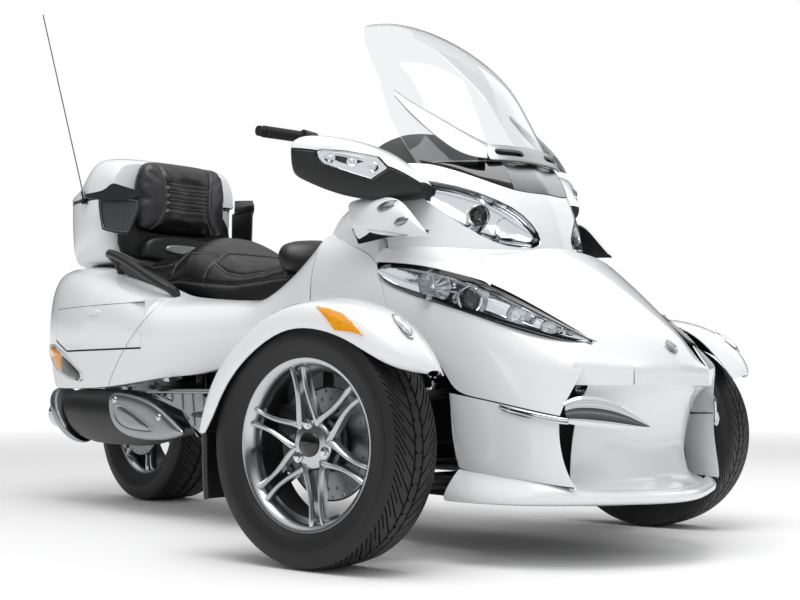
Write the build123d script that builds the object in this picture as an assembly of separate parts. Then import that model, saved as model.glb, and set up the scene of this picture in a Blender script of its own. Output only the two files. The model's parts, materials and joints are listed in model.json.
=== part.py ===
from build123d import *
from math import cos, hypot, radians, sin, tan
import os

# Reverse trike for touring: two steered front wheels and one driven rear wheel.
# Millimetres; the front faces -Y, the rider's left is +X and Z is up. Lengths run
# from the front axle, and save_all() moves the origin to the middle of the floor.

# ---- driving sizes
wheelbase = 1773.0
front_track = 1308.0
overall_height = 1510.0  # top of the windshield, without the antenna

front_tyre_r, front_tyre_w, front_rim_r = 285.0, 165.0, 202.0
rear_tyre_r, rear_tyre_w, rear_rim_r = 303.0, 225.0, 208.0
rim_wall = 8.0

kingpin_inset = 60.0  # from the wheel's middle plane in to its kingpin
kingpin_r = 11.0
stub_r, rear_axle_r = 16.0, 14.0
running_gap = 0.06  # radial, at axles, pins and kingpins
seat_gap = 0.4  # between fixed pieces that seat on each other
open_gap = 6.0  # round lids and other moving pieces

park_wheel_steer = 9.7  # degrees to the left, as parked
park_bar_steer = 20.2
column_lean = 25.0  # degrees, back towards the rider
track_arm = 100.0  # from the kingpin back to the tie rod

skin_t = 5.0  # body panels
foot_z = 1014.0  # foot of the windshield
bag_wall = 5.0

hood_front_y, hood_rear_y = -556.0, -192.0
hood_front_z, hood_rear_z = 465.0, 781.0
flange_h = 46.0
hinge_y, hinge_z = hood_rear_y + 2.0, hood_rear_z + 1.0
belly_z = 136.0

case_half_w = 298.0
case_floor_z, case_rim_z, case_top_z = 872.0, 1160.0, 1285.0
case_front_y, tail_y = wheelbase - 60.0, wheelbase + 288.0
lid_pin_y, lid_pin_z, lug_x = case_front_y - 11.0, case_top_z - 23.0, 214.0
bag_depth = 201.6
bag_front_y = wheelbase - 590.0
bag_low_z, bag_high_z = 414.0, 864.0

rail_x, rail_r, high_rail_r, cross_r = 214.0, 16.0, 15.0, 12.0
bag_in_x = rail_x + rail_r + seat_gap
bag_out_x = bag_in_x + bag_depth
door_x, door_z = 13.0 - bag_out_x, 541.0  # hinge of the right-hand case's door
engine_w, engine_l, engine_h = 2 * (rail_x - rail_r - seat_gap), 540.0, 430.0
low_rail_z, high_rail_z = 178.0, 620.0
pivot_y, pivot_z = wheelbase - 583.0, 330.0
engine_y, engine_z = pivot_y - 320.0, 385.0
tail_front_y = wheelbase + 107.0

bar_y, bar_z = 600.0, 1085.0
bar_r, grip_r, column_r = 11.0, 17.0, 15.0
column_reach = 430.0  # from the bar's clamp down to the column's foot
console_end_y = 760.0
fairing_end_y = 430.0
antenna_h = 760.0
antenna_lean = 25.6
antenna_y = wheelbase + 92.0

# ---- worked out
wheel_x = front_track / 2
kingpin_x = wheel_x - kingpin_inset
front_z, rear_z = front_tyre_r, rear_tyre_r
antenna_tip_y = antenna_y + antenna_h * tan(radians(antenna_lean))
middle_y = (antenna_tip_y + hood_front_y - 44.0) / 2

made = {}


def keep(name, *shapes):
    """Files the node under its name; several solids stay apart in one node."""
    made[name] = [solid for shape in shapes for solid in shape.solids()]


def box(x0, x1, y0, y1, z0, z1):
    return Pos((x0 + x1) / 2, (y0 + y1) / 2, (z0 + z1) / 2) * Box(x1 - x0, y1 - y0, z1 - z0)


def rod(start, end, radius):
    """A straight bar between two points."""
    along = Vector(*end) - Vector(*start)
    plane = Plane(origin=start, z_dir=along)
    return extrude(plane * Circle(radius), along.length)


def rods(points, radius, bend=30.0):
    """A bent bar: straight runs joined by tangent arcs."""
    path = FilletPolyline(*points, radius=bend) if len(points) > 2 else Line(*points)
    start = Plane(origin=path @ 0, z_dir=path % 0)
    return sweep(start * Circle(radius), path=path)


def across(x0, x1, y, z, radius):
    return rod((x0, y, z), (x1, y, z), radius)


def side_prism(points, x0, x1):
    """An outline in side view, as (y, z), from x0 to x1."""
    face = make_face(Polyline(*[(x0, y, z) for y, z in points], close=True))
    return extrude(face, x1 - x0, dir=(1, 0, 0))


def front_prism(points, y0, y1):
    """A rounded outline in front view, as (x, z), from y0 to y1."""
    face = make_face(Spline(*[(x, y0, z) for x, z in points], periodic=True))
    return extrude(face, y1 - y0, dir=(0, 1, 0))


def plan_prism(points, z0, z1):
    """An outline in plan, as (x, y), from z0 to z1."""
    face = make_face(Polyline(*[(x, y, z0) for x, y in points], close=True))
    return extrude(face, z1 - z0, dir=(0, 0, 1))


def inward(points, distance):
    """Points moved to the right of the way they run."""
    moved = []
    last = len(points) - 1
    for i, (u, v) in enumerate(points):
        before, after = points[max(i - 1, 0)], points[min(i + 1, last)]
        du, dv = after[0] - before[0], after[1] - before[1]
        size = hypot(du, dv)
        moved.append((u + dv / size * distance, v - du / size * distance))
    return moved


def wall_wire(points, wall, place):
    """A curve, its copy one wall away and the two ends, as one closed wire."""
    near = [place(*p) for p in points]
    far = [place(*p) for p in reversed(inward(points, wall))]
    return Wire(
        [
            Spline(*near).edge(),
            Line(near[-1], far[0]).edge(),
            Spline(*far).edge(),
            Line(far[-1], near[0]).edge(),
        ]
    )


def skin(stations, place, wall=skin_t, ruled=False):
    """A panel lofted through stations, each a position and the points of its curve."""
    wires = []
    for at, points in stations:
        wires.append(wall_wire(points, wall, lambda u, v, at=at: place(at, u, v)))
    return Solid.make_loft(wires, ruled)


def in_x(x, y, z):
    """Places a point of a section drawn in side view."""
    return (x, y, z)


def in_y(y, x, z):
    """Places a point of a cross-section drawn in front view."""
    return (x, y, z)


def in_z(z, x, y):
    """Places a point of a section drawn in plan."""
    return (x, y, z)


def both(points):
    """A half outline from the middle outwards, made whole."""
    return [(-u, v) for u, v in reversed(points) if u] + list(points)


def block(stations, grow=0.0):
    """A body lofted through rounded oblongs, each (y, x0, x1, z0, z1, corner)."""
    wires = []
    for y, x0, x1, z0, z1, corner in stations:
        plane = Plane(origin=((x0 + x1) / 2, y, (z0 + z1) / 2), x_dir=(1, 0, 0), z_dir=(0, -1, 0))
        width, height = x1 - x0 + 2 * grow, z1 - z0 + 2 * grow
        outline = plane * RectangleRounded(width, height, corner + grow)
        wires.append(outline.face().outer_wire())
    return Solid.make_loft(wires, True)


def hollowed(stations, wall, end):
    """A block with a hollow: walls all round, and end walls across Y."""
    first, last = list(stations[0]), list(stations[-1])
    first[0], last[0] = first[0] + end, last[0] - end
    inner = block([first, *stations[1:-1], last], -wall)
    return block(stations) - inner


def mirrored(shape):
    return mirror(shape, about=Plane.YZ)


def pair(name, *right):
    """Files right-hand pieces and their mirror images."""
    keep(name + "_right", *right)
    keep(name + "_left", *[mirrored(shape) for shape in right])


def both_sides(name, *right):
    """Files right-hand pieces and their mirror images in one node."""
    keep(name, *right, *[mirrored(shape) for shape in right])


def seated(shape, *others):
    """Cuts a piece back to the faces that it meets and keeps what lies this side."""
    for other in others:
        shape = shape - other
    return max(shape.solids(), key=lambda solid: solid.volume)


def steered_pair(name, *right):
    """Files straight-ahead pieces of both sides, turned to the parked angle."""
    turn_right = Axis((-kingpin_x, 0, 0), (0, 0, 1))
    turn_left = Axis((kingpin_x, 0, 0), (0, 0, 1))
    keep(name + "_right", *[s.rotate(turn_right, park_wheel_steer) for s in right])
    keep(name + "_left", *[mirrored(s).rotate(turn_left, park_wheel_steer) for s in right])


# ---- wheels
def revolved(profile, x, z):
    """A half section of (offset along X, radius), turned about an axle along X."""
    face = make_face(Polyline(*[(x + u, 0, z + r) for u, r in profile], close=True))
    return revolve(face, Axis((x, 0, z), (1, 0, 0)), 360)


def tyre_solid(x, z, radius, width, bead_r):
    half = width / 2
    outline = [
        (-half * 0.72, bead_r),
        (-half * 0.72, bead_r + 10),
        (-half, bead_r + (radius - bead_r) * 0.45),
        (-half * 0.86, radius - 12),
        (-half * 0.55, radius),
        (half * 0.55, radius),
        (half * 0.86, radius - 12),
        (half, bead_r + (radius - bead_r) * 0.45),
        (half * 0.72, bead_r + 10),
        (half * 0.72, bead_r),
    ]
    return revolved(outline, x, z)


def rim_solid(x, z, width, flange_r, bore_r, face_x, spokes, hub_r=58.0, hub_in=-28.0):
    """Barrel, hub and twin spokes; face_x is the spokes' offset from the middle plane."""
    half = width / 2 * 0.72
    seat_r = flange_r - 9
    barrel = revolved(
        [
            (-half - 4, seat_r - rim_wall - 4),
            (-half - 4, flange_r),
            (-half - 0.3, flange_r),
            (-half - 0.3, seat_r),
            (half + 0.3, seat_r),
            (half + 0.3, flange_r),
            (half + 4, flange_r),
            (half + 4, seat_r - rim_wall - 4),
        ],
        x,
        z,
    )
    sign = 1 if face_x > 0 else -1
    thick = 22.0
    out, root = face_x, face_x - sign * thick
    hub = across(x + min(out, hub_in * sign), x + max(out, hub_in * sign), 0, z, hub_r)
    spoke = box(x + min(root, out), x + max(root, out), -10, 10, z + hub_r - 8, z + seat_r - rim_wall)
    wheel = barrel + hub
    for i in range(spokes):
        for lean in (-9, 9):
            turned = spoke.rotate(Axis((x, 0, z), (1, 0, 0)), 360 / spokes * i + lean)
            wheel = wheel + turned
    return wheel - across(x - width, x + width, 0, z, bore_r)


def disc_solid(x, z, radius, inner_r):
    return across(x - 2.5, x + 2.5, 0, z, radius) - across(x - 4, x + 4, 0, z, inner_r)


front_face_x = -52.0  # the spokes' offset from the wheel's middle, outwards
disc_x = 26.0  # the brake disc's offset, inwards


def front_wheels():
    x, z = -wheel_x, front_z
    bead_r = front_rim_r - 9 + 0.3
    tyre = tyre_solid(x, z, front_tyre_r, front_tyre_w, bead_r)
    bore = stub_r + running_gap
    rim = rim_solid(x, z, front_tyre_w, front_rim_r, bore, front_face_x, 6, 44.0, -8.0)
    disc = disc_solid(x + disc_x, z, 135.0, 60.0)
    carrier = across(x + 8.3, x + disc_x + 2.5, 0, z, 60.0) - across(x, x + 60, 0, z, 40.0)
    cap = across(x + front_face_x - 6, x + front_face_x + 1, 0, z, 26.0)
    steered_pair("front_tyre", tyre)
    steered_pair("front_rim", rim + cap, disc + carrier)


def rear_wheel():
    x, z = 0, rear_z
    bead_r = rear_rim_r - 9 + 0.3
    at = Pos(0, wheelbase, 0)
    tyre = at * tyre_solid(x, z, rear_tyre_r, rear_tyre_w, bead_r)
    rim = at * rim_solid(x, z, rear_tyre_w, rear_rim_r, rear_axle_r + running_gap, -78.0, 6, 50.0, -40.0)
    disc = at * (disc_solid(-100.0, z, 135.0, 30.0) + across(-97.5, -78.3, 0, z, 50.0))
    disc = disc - at * across(-120, -70, 0, z, 24.0)
    pulley = at * (across(40.3, 62, 0, z, 60.0) + across(62, 92, 0, z, 105.0))
    pulley = pulley - at * across(30, 100, 0, z, 24.0)
    keep("rear_tyre", tyre)
    keep("rear_rim", rim, disc, pulley)


# ---- steering and front suspension
eye_low_z, eye_high_z = 188.0, 382.0
tower_top_z, slope_y = 560.0, 380.0
shock_head_z = tower_top_z + (high_rail_z - tower_top_z) * 130.0 / (slope_y + 130.0)
arm_in_x = rail_x + rail_r + 17.3
shock_foot_x = kingpin_x - 124


def wishbone(z, z_in, spread, eye_z0, eye_z1):
    """A right-hand arm: two legs from the frame to the kingpin's eye."""
    eye = rod((-kingpin_x, 0, eye_z0), (-kingpin_x, 0, eye_z1), 21.0)
    legs = [rod((-arm_in_x, s * spread, z_in), (-kingpin_x + 12, s * 6, z), 11.0) for s in (-1, 1)]
    ends = [(y - 18, y + 18) for y in (-spread, spread)]
    bushes = [rod((-arm_in_x, y0, z_in), (-arm_in_x, y1, z_in), 17.0) for y0, y1 in ends]
    return eye + legs + bushes


def suspension():
    low = wishbone(eye_low_z, low_rail_z, 135.0, eye_low_z - 14, eye_low_z + 14)
    high = wishbone(eye_high_z, eye_high_z + 26, 110.0, eye_high_z - 14, eye_high_z + 14)
    kingpin = rod((-kingpin_x, 0, eye_low_z - 20), (-kingpin_x, 0, eye_high_z + 20), kingpin_r)
    pad = box(-shock_foot_x - 18, 18 - shock_foot_x, -62, 62, eye_low_z - 8, eye_low_z + 10)
    both_sides("suspension_arms", low + high + kingpin + pad)


def shocks():
    """Coil-over units from the lower arms up to the frame."""
    foot, head = (-shock_foot_x, 0, 226.0), (-rail_x - 6, 0, shock_head_z)
    shock = rod(foot, head, 12.0)
    middle = [(a + (b - a) * t) for a, b, t in [(foot[0], head[0], 0.28), (foot[2], head[2], 0.28)]]
    top = [(a + (b - a) * t) for a, b, t in [(foot[0], head[0], 0.9), (foot[2], head[2], 0.9)]]
    shock = shock + rod((middle[0], 0, middle[1]), (top[0], 0, top[1]), 36.0)
    clevis = across(-shock_foot_x - 16, 16 - shock_foot_x, 0, eye_low_z + 22.3, 12)
    both_sides("front_shocks", seated(shock + clevis, *tubes()))


def knuckles(fender):
    sleeve = rod((-kingpin_x, 0, eye_low_z + 14.3), (-kingpin_x, 0, eye_high_z - 14.3), 24.0)
    stub = across(-wheel_x + front_face_x + 2, -kingpin_x, 0, front_z, stub_r)
    arm = box(-kingpin_x - 11, -kingpin_x + 11, 15, track_arm + 14, 226, 238)
    bore = rod((-kingpin_x, 0, 100), (-kingpin_x, 0, 500), kingpin_r + running_gap)
    carrier = (sleeve + stub + arm) - bore
    edge, top = -wheel_x + front_tyre_w / 2 + 9.5, front_z + front_tyre_r + 44
    strap = box(-kingpin_x, edge + 6, 55, 71, front_z + 30, front_z + 60)
    strap = strap + box(edge, edge + 6, 50, 80, front_z + 30, top)
    strap = strap + box(edge - 18, edge + 6, 50, 80, top - 26, top)
    x = -wheel_x + disc_x
    outer = box(x - 18, x + 18, 84, 150, front_z + 20, front_z + 92)
    slot = box(x - 2.5 - 1.5, x + 2.5 + 1.5, 0, 147, front_z - 20, front_z + 150)
    bridge = box(x + 18, -kingpin_x + 8, 70, 110, front_z + 30, front_z + 60)
    stalk = box(-kingpin_x - 8, -kingpin_x + 8, 15, 71, front_z + 30, front_z + 60)
    steered_pair("knuckle", seated(carrier + (outer - slot) + bridge + stalk + strap, fender))


def steering_link():
    """The sliding link and its two rods; each end lies above a knuckle's arm."""
    shift = -track_arm * sin(radians(park_wheel_steer))
    y = track_arm * cos(radians(park_wheel_steer))
    link = across(-kingpin_x + shift + 10, kingpin_x + shift - 10, y, 250, 9.0)
    for x in (-kingpin_x + shift, kingpin_x + shift):
        link = link + rod((x, y, 243.5), (x, y, 262), 13.0)
    keep("tie_rods", link)
    bore = across(-rail_x - 5, rail_x + 5, y, 250, 9.0 + running_gap)
    return across(-rail_x, rail_x, y, 250, 24.0) - bore


def fenders():
    """Each front fender follows its wheel round and steers with it."""
    crown = front_tyre_r + 65
    out, inn = -wheel_x - front_tyre_w / 2 - 13, -wheel_x + front_tyre_w / 2 + 5.5
    rows = [
        (4, 2, -50, 4, -34, 40, -18, -40, -12, 0, -20),
        (25, 0, -80, 4, -44, 36, -16, -44, -6, 0, -18),
        (58, 0, -80, 3, -44, 38, -14, -44, -3, 0, -16),
        (90, 0, -78, 3, -42, 38, -12, -48, -1, 0, -16),
        (118, 2, -70, 6, -34, 44, 4, -66, 16, 4, -14),
        (138, 14, -52, 20, -20, 56, 10, -76, 18, 2, -16),
        (149, 42, -30, 52, -16, 78, 6, -78, 15, -6, -24),
    ]
    stations = []
    for angle, a, low, b, side, c, outer, d, inner, e, edge in rows:
        curve = [(out + a, crown + low), (out + b, crown + side), (out + c, crown + outer)]
        stations.append((angle, curve + [(inn + d, crown + inner), (inn + e, crown + edge)]))

    def place(angle, x, r):
        turn = radians(angle)
        return (x, r * cos(turn), front_z + r * sin(turn))

    shell = skin(stations, place, 4.0)
    top, low = front_z + 45, front_z - 139
    outline = [(out + 24, top), (-wheel_x, top - 8), (inn - 6, top), (inn, front_z - 95)]
    outline += [(inn - 4, low), (-wheel_x, low - 6), (out + 26, low), (out + 20, front_z - 85)]
    flap = front_prism(outline, front_tyre_r + 45, front_tyre_r + 51)
    steered_pair("front_fender", shell)
    steered_pair("mudflap", seated(flap, shell))
    return shell


def turned_bar(*shapes):
    """Turns handlebar pieces about the leaning column to the parked angle."""
    lean = radians(column_lean)
    axis = Axis((0, bar_y, bar_z), (0, sin(lean), cos(lean)))
    return [shape.rotate(axis, park_bar_steer) for shape in shapes]


def handlebar():
    lean = radians(column_lean)
    reach = column_reach
    foot = (0, bar_y - reach * sin(lean), bar_z - reach * cos(lean))
    column = rod(foot, (0, bar_y, bar_z), column_r)
    half = [(0, bar_y, bar_z), (-90, bar_y + 4, bar_z + 18), (-190, bar_y + 26, bar_z + 32)]
    half += [(-287, bar_y + 62, bar_z + 26), (-420, bar_y + 92, bar_z - 1)]
    right = rods(half, bar_r)
    keep("handlebar", *turned_bar(column + right + mirrored(right)))
    sleeve = rod(half[-2], half[-1], grip_r) - right
    cap = rod(half[-1], (-438, bar_y + 96, bar_z - 4.6), 15.0)
    sleeve = sleeve + cap
    box_r = rod((-236, bar_y + 43, bar_z + 29), (-276, bar_y + 58, bar_z + 27), 24.0) - right
    keep("grips", *turned_bar(sleeve - right, mirrored(sleeve - right)))
    keep("switch_boxes", *turned_bar(box_r, mirrored(box_r)))


# ---- chassis
def frame(rack_housing):
    """Welded tube frame: low and high rails, posts, the column's sleeve and ties."""
    front_y, tower_y, rear_y = -300.0, 130.0, pivot_y
    seat_end_y = tail_front_y - rail_r - seat_gap
    end_bar = across(-150 - rail_r, 150 + rail_r, seat_end_y, high_rail_z + 60, rail_r)
    lows, highs, towers, stays, props = [], [], [], [], []
    for s in (-1, 1):
        x = s * rail_x
        high = [(x, -tower_y, low_rail_z + 4), (x, -tower_y, tower_top_z), (x, slope_y, high_rail_z)]
        high += [(x, rear_y + 60, high_rail_z), (s * 150, wheelbase - 54, high_rail_z)]
        high = rods(high + [(s * 150, seat_end_y, high_rail_z + 60)], high_rail_r)
        floor = rod((x, front_y, low_rail_z), (x, rear_y - 60, low_rail_z), rail_r)
        highs.append(seated(high, floor, end_bar))
        low = [(x, -tower_y, tower_top_z), (x, front_y, 470), (x, front_y, low_rail_z)]
        low += [(x, rear_y - 60, low_rail_z), (x, rear_y, pivot_z), (x, rear_y, high_rail_z - 4)]
        lows.append(seated(rods(low, rail_r), highs[-1]))
        tower = rod((x, tower_y, low_rail_z), (x, tower_y, 588), rail_r - 2)
        towers.append(seated(tower, lows[-1], highs[-1]))
        stays.append(rod((s * 150, front_y, low_rail_z), (s * 120, -500, 205), 10.0))
        props.append(seated(rod((x, tower_y, 586), (s * 290, 20, 850), 10.0), highs[-1], towers[-1]))
    levels = [(front_y, low_rail_z), (tower_y, low_rail_z), (520, low_rail_z), (-tower_y, tower_top_z - 4)]
    levels += [(slope_y, high_rail_z), (rear_y, high_rail_z), (rear_y, pivot_z)]
    ties = [seated(across(-rail_x, rail_x, y, z, cross_r), *lows, *highs) for y, z in levels]
    towers = [seated(tower, ties[1]) for tower in towers]
    lean = radians(column_lean)
    ends = []
    for reach in (column_reach + 78, column_reach - 90):
        ends.append((0, bar_y - reach * sin(lean), bar_z - reach * cos(lean)))
    bore = rod(ends[0], (0, bar_y, bar_z), column_r + running_gap)
    sleeve = seated(rod(ends[0], ends[1], column_r + 12), ties[4]) - bore
    ties[4] = seated(ties[4], bore)
    keep("frame_low", *lows)
    keep("frame_high", *highs)
    stays = [seated(stay, ties[0], *made["front_bumper"]) for stay in stays]
    keep("frame_posts", *towers, *stays, sleeve)
    props = [seated(prop, *made["upper_cowl"]) for prop in props]
    housing = seated(rack_housing, *towers, *lows)
    keep("frame_ties", *ties, end_bar, *props, housing)


def tubes():
    """Every tube of the frame."""
    return [tube for part in ("low", "high", "posts", "ties") for tube in made["frame_" + part]]


def engine():
    y, z, w, l, h = engine_y, engine_z, engine_w, engine_l, engine_h
    keep("engine", box(-w / 2, w / 2, y - l / 2, y + l / 2, z - h / 2, z + h / 2))


def swingarm():
    """A fork from the frame's cross tube back to the fixed rear axle."""
    half = rear_tyre_w / 2 + 26
    arms = []
    for s in (-1, 1):
        x0, x1 = sorted((s * (half - 14), s * (half + 14)))
        outline = [(pivot_y + 22, pivot_z - 26), (wheelbase + 40, rear_z - 22)]
        outline += [(wheelbase + 40, rear_z + 22), (pivot_y + 22, pivot_z + 40)]
        arms.append(side_prism(outline, x0, x1))
    bridge = box(-half, half, pivot_y + 22, pivot_y + 72, pivot_z - 20, pivot_z + 30)
    axle = across(-half - 22, half + 22, wheelbase, rear_z, rear_axle_r)
    plates = box(-half, half, pivot_y, pivot_y + 24, pivot_z - 12, pivot_z + 12)
    fork = arms[0] + arms[1] + bridge + axle + plates
    keep("swingarm", seated(fork, *tubes()))


# ---- front body
def hood():
    """The nose panel over the front trunk, with the flange under its front edge."""
    rows = [
        (hood_front_y + 4, 478, 148, 468),
        (-500, 552, 168, 496),
        (-442, 598, 192, 533),
        (-340, 676, 232, 594),
        (-250, 740, 266, 648),
        (hood_rear_y, 779, 290, 676),
    ]
    stations = []
    for y, mid, half, edge in rows:
        drop = mid - edge
        curve = [(0, mid), (half * 0.45, mid - drop * 0.18), (half * 0.82, mid - drop * 0.62), (half, edge)]
        stations.append((y, both(curve)))
    panel = skin(stations, in_y)
    panel = panel + plan_prism(
        [(-148, hood_front_y + 24), (0, hood_front_y + 4), (148, hood_front_y + 24)]
        + [(148, hood_front_y + 29), (0, hood_front_y + 9), (-148, hood_front_y + 29)],
        hood_front_z - flange_h,
        hood_front_z + 12,
    )
    bore = across(-30, 30, hinge_y, hinge_z, 2.5 + running_gap)
    knuckle = across(-19.5, 19.5, hinge_y, hinge_z, 5.2) - bore
    for x0, x1 in ((-36, -19.5), (19.5, 36)):
        panel = panel - across(x0, x1, hinge_y, hinge_z, 6.5)
    keep("hood", panel + knuckle)


def bumper():
    """Fascia under the hood's flange, the recessed scoop below it and its shelf."""
    top_z = hood_front_z - flange_h - seat_gap
    rows = [
        (top_z, [(0, -508), (150, -502), (236, -452), (270, -402)]),
        (340, [(0, -462), (150, -458), (240, -420), (282, -372)]),
        (240, [(0, -452), (150, -448), (240, -412), (284, -368)]),
        (178, [(0, -470), (150, -464), (240, -420), (286, -372)]),
    ]
    scoop = skin([(z, both(c)) for z, c in rows], in_z)
    half = [(0, hood_front_y + 6), (150, hood_front_y + 26), (200, -507), (250, -479)]
    half += [(290, -455), (280, -412), (240, -436), (150, -484)]
    ledge = plan_prism([(-x, y) for x, y in reversed(half[1:])] + half, top_z - 6, top_z)
    keep("front_bumper", scoop + ledge)
    lip = [(0, -590), (110, -540), (210, -470), (300, -408), (366, -356), (396, -300), (408, -250)]
    lip += [(330, -206), (300, -240), (288, -362), (240, -402), (150, -442), (0, -448)]
    outline = [(-x, y) for x, y in reversed(lip[1:-1])] + lip
    keep("front_lip", plan_prism(outline, belly_z, 178 - seat_gap))
    x = rail_x - rail_r - seat_gap
    shape = [(-440, top_z + seat_gap), (-206, top_z + seat_gap), (-206, 668), (-440, 500)]
    hollow = [(-434, 640), (-434, top_z + 6), (-212, top_z + 6), (-212, 760)]
    keep("front_trunk", side_prism(shape, -x, x) - side_prism(hollow, -x + bag_wall, x - bag_wall))


def front_cheeks():
    """The panels beside the scoop, from the front edge back to the wheel."""
    rows = [
        (-446, [(-309, 178.8), (-314, 270), (-314, 380), (-302, 470), (-236, 512)]),
        (-356, [(-330, 178.8), (-342, 290), (-345, 400), (-336, 486), (-298, 536)]),
        (-280, [(-344, 178.8), (-355, 290), (-359, 410), (-352, 506), (-322, 560)]),
        (-210, [(-352, 178.8), (-362, 290), (-366, 420), (-360, 526), (-341, 586)]),
        (-150, [(-356, 178.8), (-366, 300), (-370, 430), (-365, 540), (-352, 606)]),
    ]
    panel = skin([(y, list(reversed(c))) for y, c in rows], in_y)
    slot = box(-400, -200, -500, -450.5, 0, 700)
    cheek = panel - slot
    rows = [
        (-149.6, [(-368, 512), (-374, 556), (-370, 590), (-358, 610)]),
        (-40, [(-374, 512), (-382, 570), (-378, 616), (-366, 640)]),
        (60, [(-378, 512), (-388, 590), (-384, 640), (-372, 666)]),
        (129.6, [(-378, 512), (-390, 600), (-387, 660), (-376, 708)]),
    ]
    low = skin([(y, list(reversed(c))) for y, c in rows], in_y)
    rows = [
        (130, [(-378, 512), (-388, 600), (-384, 670), (-364, 736)]),
        (250, [(-368, 520), (-382, 640), (-374, 720), (-348, 790)]),
        (fairing_end_y, [(-336, 570), (-350, 660), (-342, 750), (-306, 836)]),
    ]
    high = skin([(y, list(reversed(c))) for y, c in rows], in_y)
    both_sides("side_fairings", cheek, low, high)
    foot = hood_front_z - flange_h
    rows = [
        (-290, [(-455, foot), (-453, 446), (-449, 476)]),
        (-236, [(-484, foot), (-476, 468), (-449, 511)]),
        (-200, [(-505, foot), (-500, 462), (-476, 500)]),
        (-154, [(-530, foot), (-528, 444), (-521, 466)]),
    ]
    both_sides("nose_sides", seated(skin(rows, in_x), *made["side_fairings"], *made["front_bumper"]))


def low_lamps():
    """Long leaf-shaped lamps between the hood's sides and the cheeks."""
    rows = [
        (-438, [(-229, 519), (-220, 528), (-206, 534)]),
        (-340, [(-302, 552), (-280, 580), (-246, 592)]),
        (-230, [(-333, 586), (-314, 626), (-283, 650)]),
        (-135, [(-350, 617), (-344, 664), (-322, 692)]),
        (-20, [(-361, 648), (-364, 696), (-350, 722)]),
        (100, [(-370, 690), (-371, 716), (-362, 734)]),
    ]
    lens = skin([(y, list(reversed(c))) for y, c in rows], in_y, 18.0)
    both_sides("low_lamps", seated(lens, *made["side_fairings"], made["upper_cowl"][0]))


def cowl():
    """The deck behind the hood and the upright fairing that carries the upper lamps."""
    rows = [
        (hood_rear_y + open_gap, [(-295, 678), (-250, 712), (-150, 752), (-46, 775)]),
        (-100, [(-328, 705), (-290, 735), (-240, 758), (-190, 772)]),
        (0, [(-349, 731), (-330, 750), (-305, 764), (-270, 776)]),
        (118, [(-359, 744), (-350, 756), (-338, 768), (-322, 776)]),
    ]
    deck = skin([(y, list(reversed(c))) for y, c in rows], in_y)
    rows = [
        (764, [(0, -184), (110, -170), (206, -98), (282, 0), (330, 120)]),
        (830, [(0, -174), (110, -156), (205, -86), (276, 10), (318, 130)]),
        (900, [(0, -156), (110, -134), (200, -66), (272, 30), (310, 140)]),
        (960, [(0, -128), (110, -104), (205, -36), (290, 60), (330, 160)]),
        (foot_z - seat_gap, [(0, -96), (110, -74), (200, 0), (272, 90), (330, 190)]),
    ]
    wall = skin([(z, both(c)) for z, c in rows], in_z, -skin_t)
    outline = [(-90, 784), (-92, 806), (-124, 850), (-168, 896), (-226, 936), (-288, 958), (-258, 900)]
    outline += [(-222, 846), (-176, 806), (-126, 786)]
    eye = front_prism(outline, -400, 120)
    glass = skin([(z, both(c)) for z, c in rows], in_z, -14.0)
    mid_x, mid_z = -180.0, 862.0
    inset = [(mid_x + (x - mid_x) * 0.98, mid_z + (z - mid_z) * 0.98) for x, z in outline]
    lens = max((glass & front_prism(inset, -400, 120)).solids(), key=lambda solid: solid.volume)
    ears = box(20, 34, hinge_y, -174, hinge_z - 5, hinge_z + 5) + across(20, 34, hinge_y, hinge_z, 5.2)
    shell = wall + deck + mirrored(deck) - eye - mirrored(eye) + ears + mirrored(ears)
    pin = across(-34, 34, hinge_y, hinge_z, 2.5)
    keep("upper_cowl", shell + pin)
    both_sides("upper_lamps", lens)


def windshield():
    rows = [
        (foot_z, [(0, -96), (110, -74), (200, 0), (262, 80)]),
        (1130, [(0, -30), (110, -6), (196, 80), (250, 190)]),
        (1250, [(0, 38), (110, 62), (190, 150), (232, 262)]),
        (1390, [(0, 188), (90, 212), (160, 280), (196, 360)]),
        (1470, [(0, 312), (70, 330), (124, 376), (156, 432)]),
        (overall_height, [(0, 420), (40, 428), (80, 448), (112, 480)]),
    ]
    keep("windshield", skin([(z, both(c)) for z, c in rows], in_z, -4.0))


def bracket():
    """The bright arch across the foot of the windshield, with an arm up each side."""
    rows = [
        (foot_z + 1, [(0, -107), (110, -85), (196, -20)]),
        (foot_z + 24, [(0, -94), (110, -71), (198, -2)]),
        (foot_z + 46, [(0, -81), (110, -58), (200, 14)]),
    ]
    arch = skin([(z, both(c)) for z, c in rows], in_z, -9.0)
    arm = rods([(-196, -12, 1030), (-226, 90, 1110), (-238, 200, 1220)], 10.0)
    shape = arch + arm + mirrored(arm)
    keep("windshield_bracket", seated(shape, made["windshield"][0], made["upper_cowl"][0]))


def dash():
    """The dark inner hood round the instruments, and their binnacle."""
    rows = [
        (-30, [(0, 1000), (120, 996), (215, 972)]),
        (110, [(0, 1080), (150, 1072), (310, 985)]),
        (260, [(0, 1150), (150, 1140), (262, 1040)]),
        (380, [(0, 1130), (140, 1120), (220, 1050)]),
    ]
    keep("dash", seated(skin([(y, both(c)) for y, c in rows], in_y, 6.0), made["upper_cowl"][0]))


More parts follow.
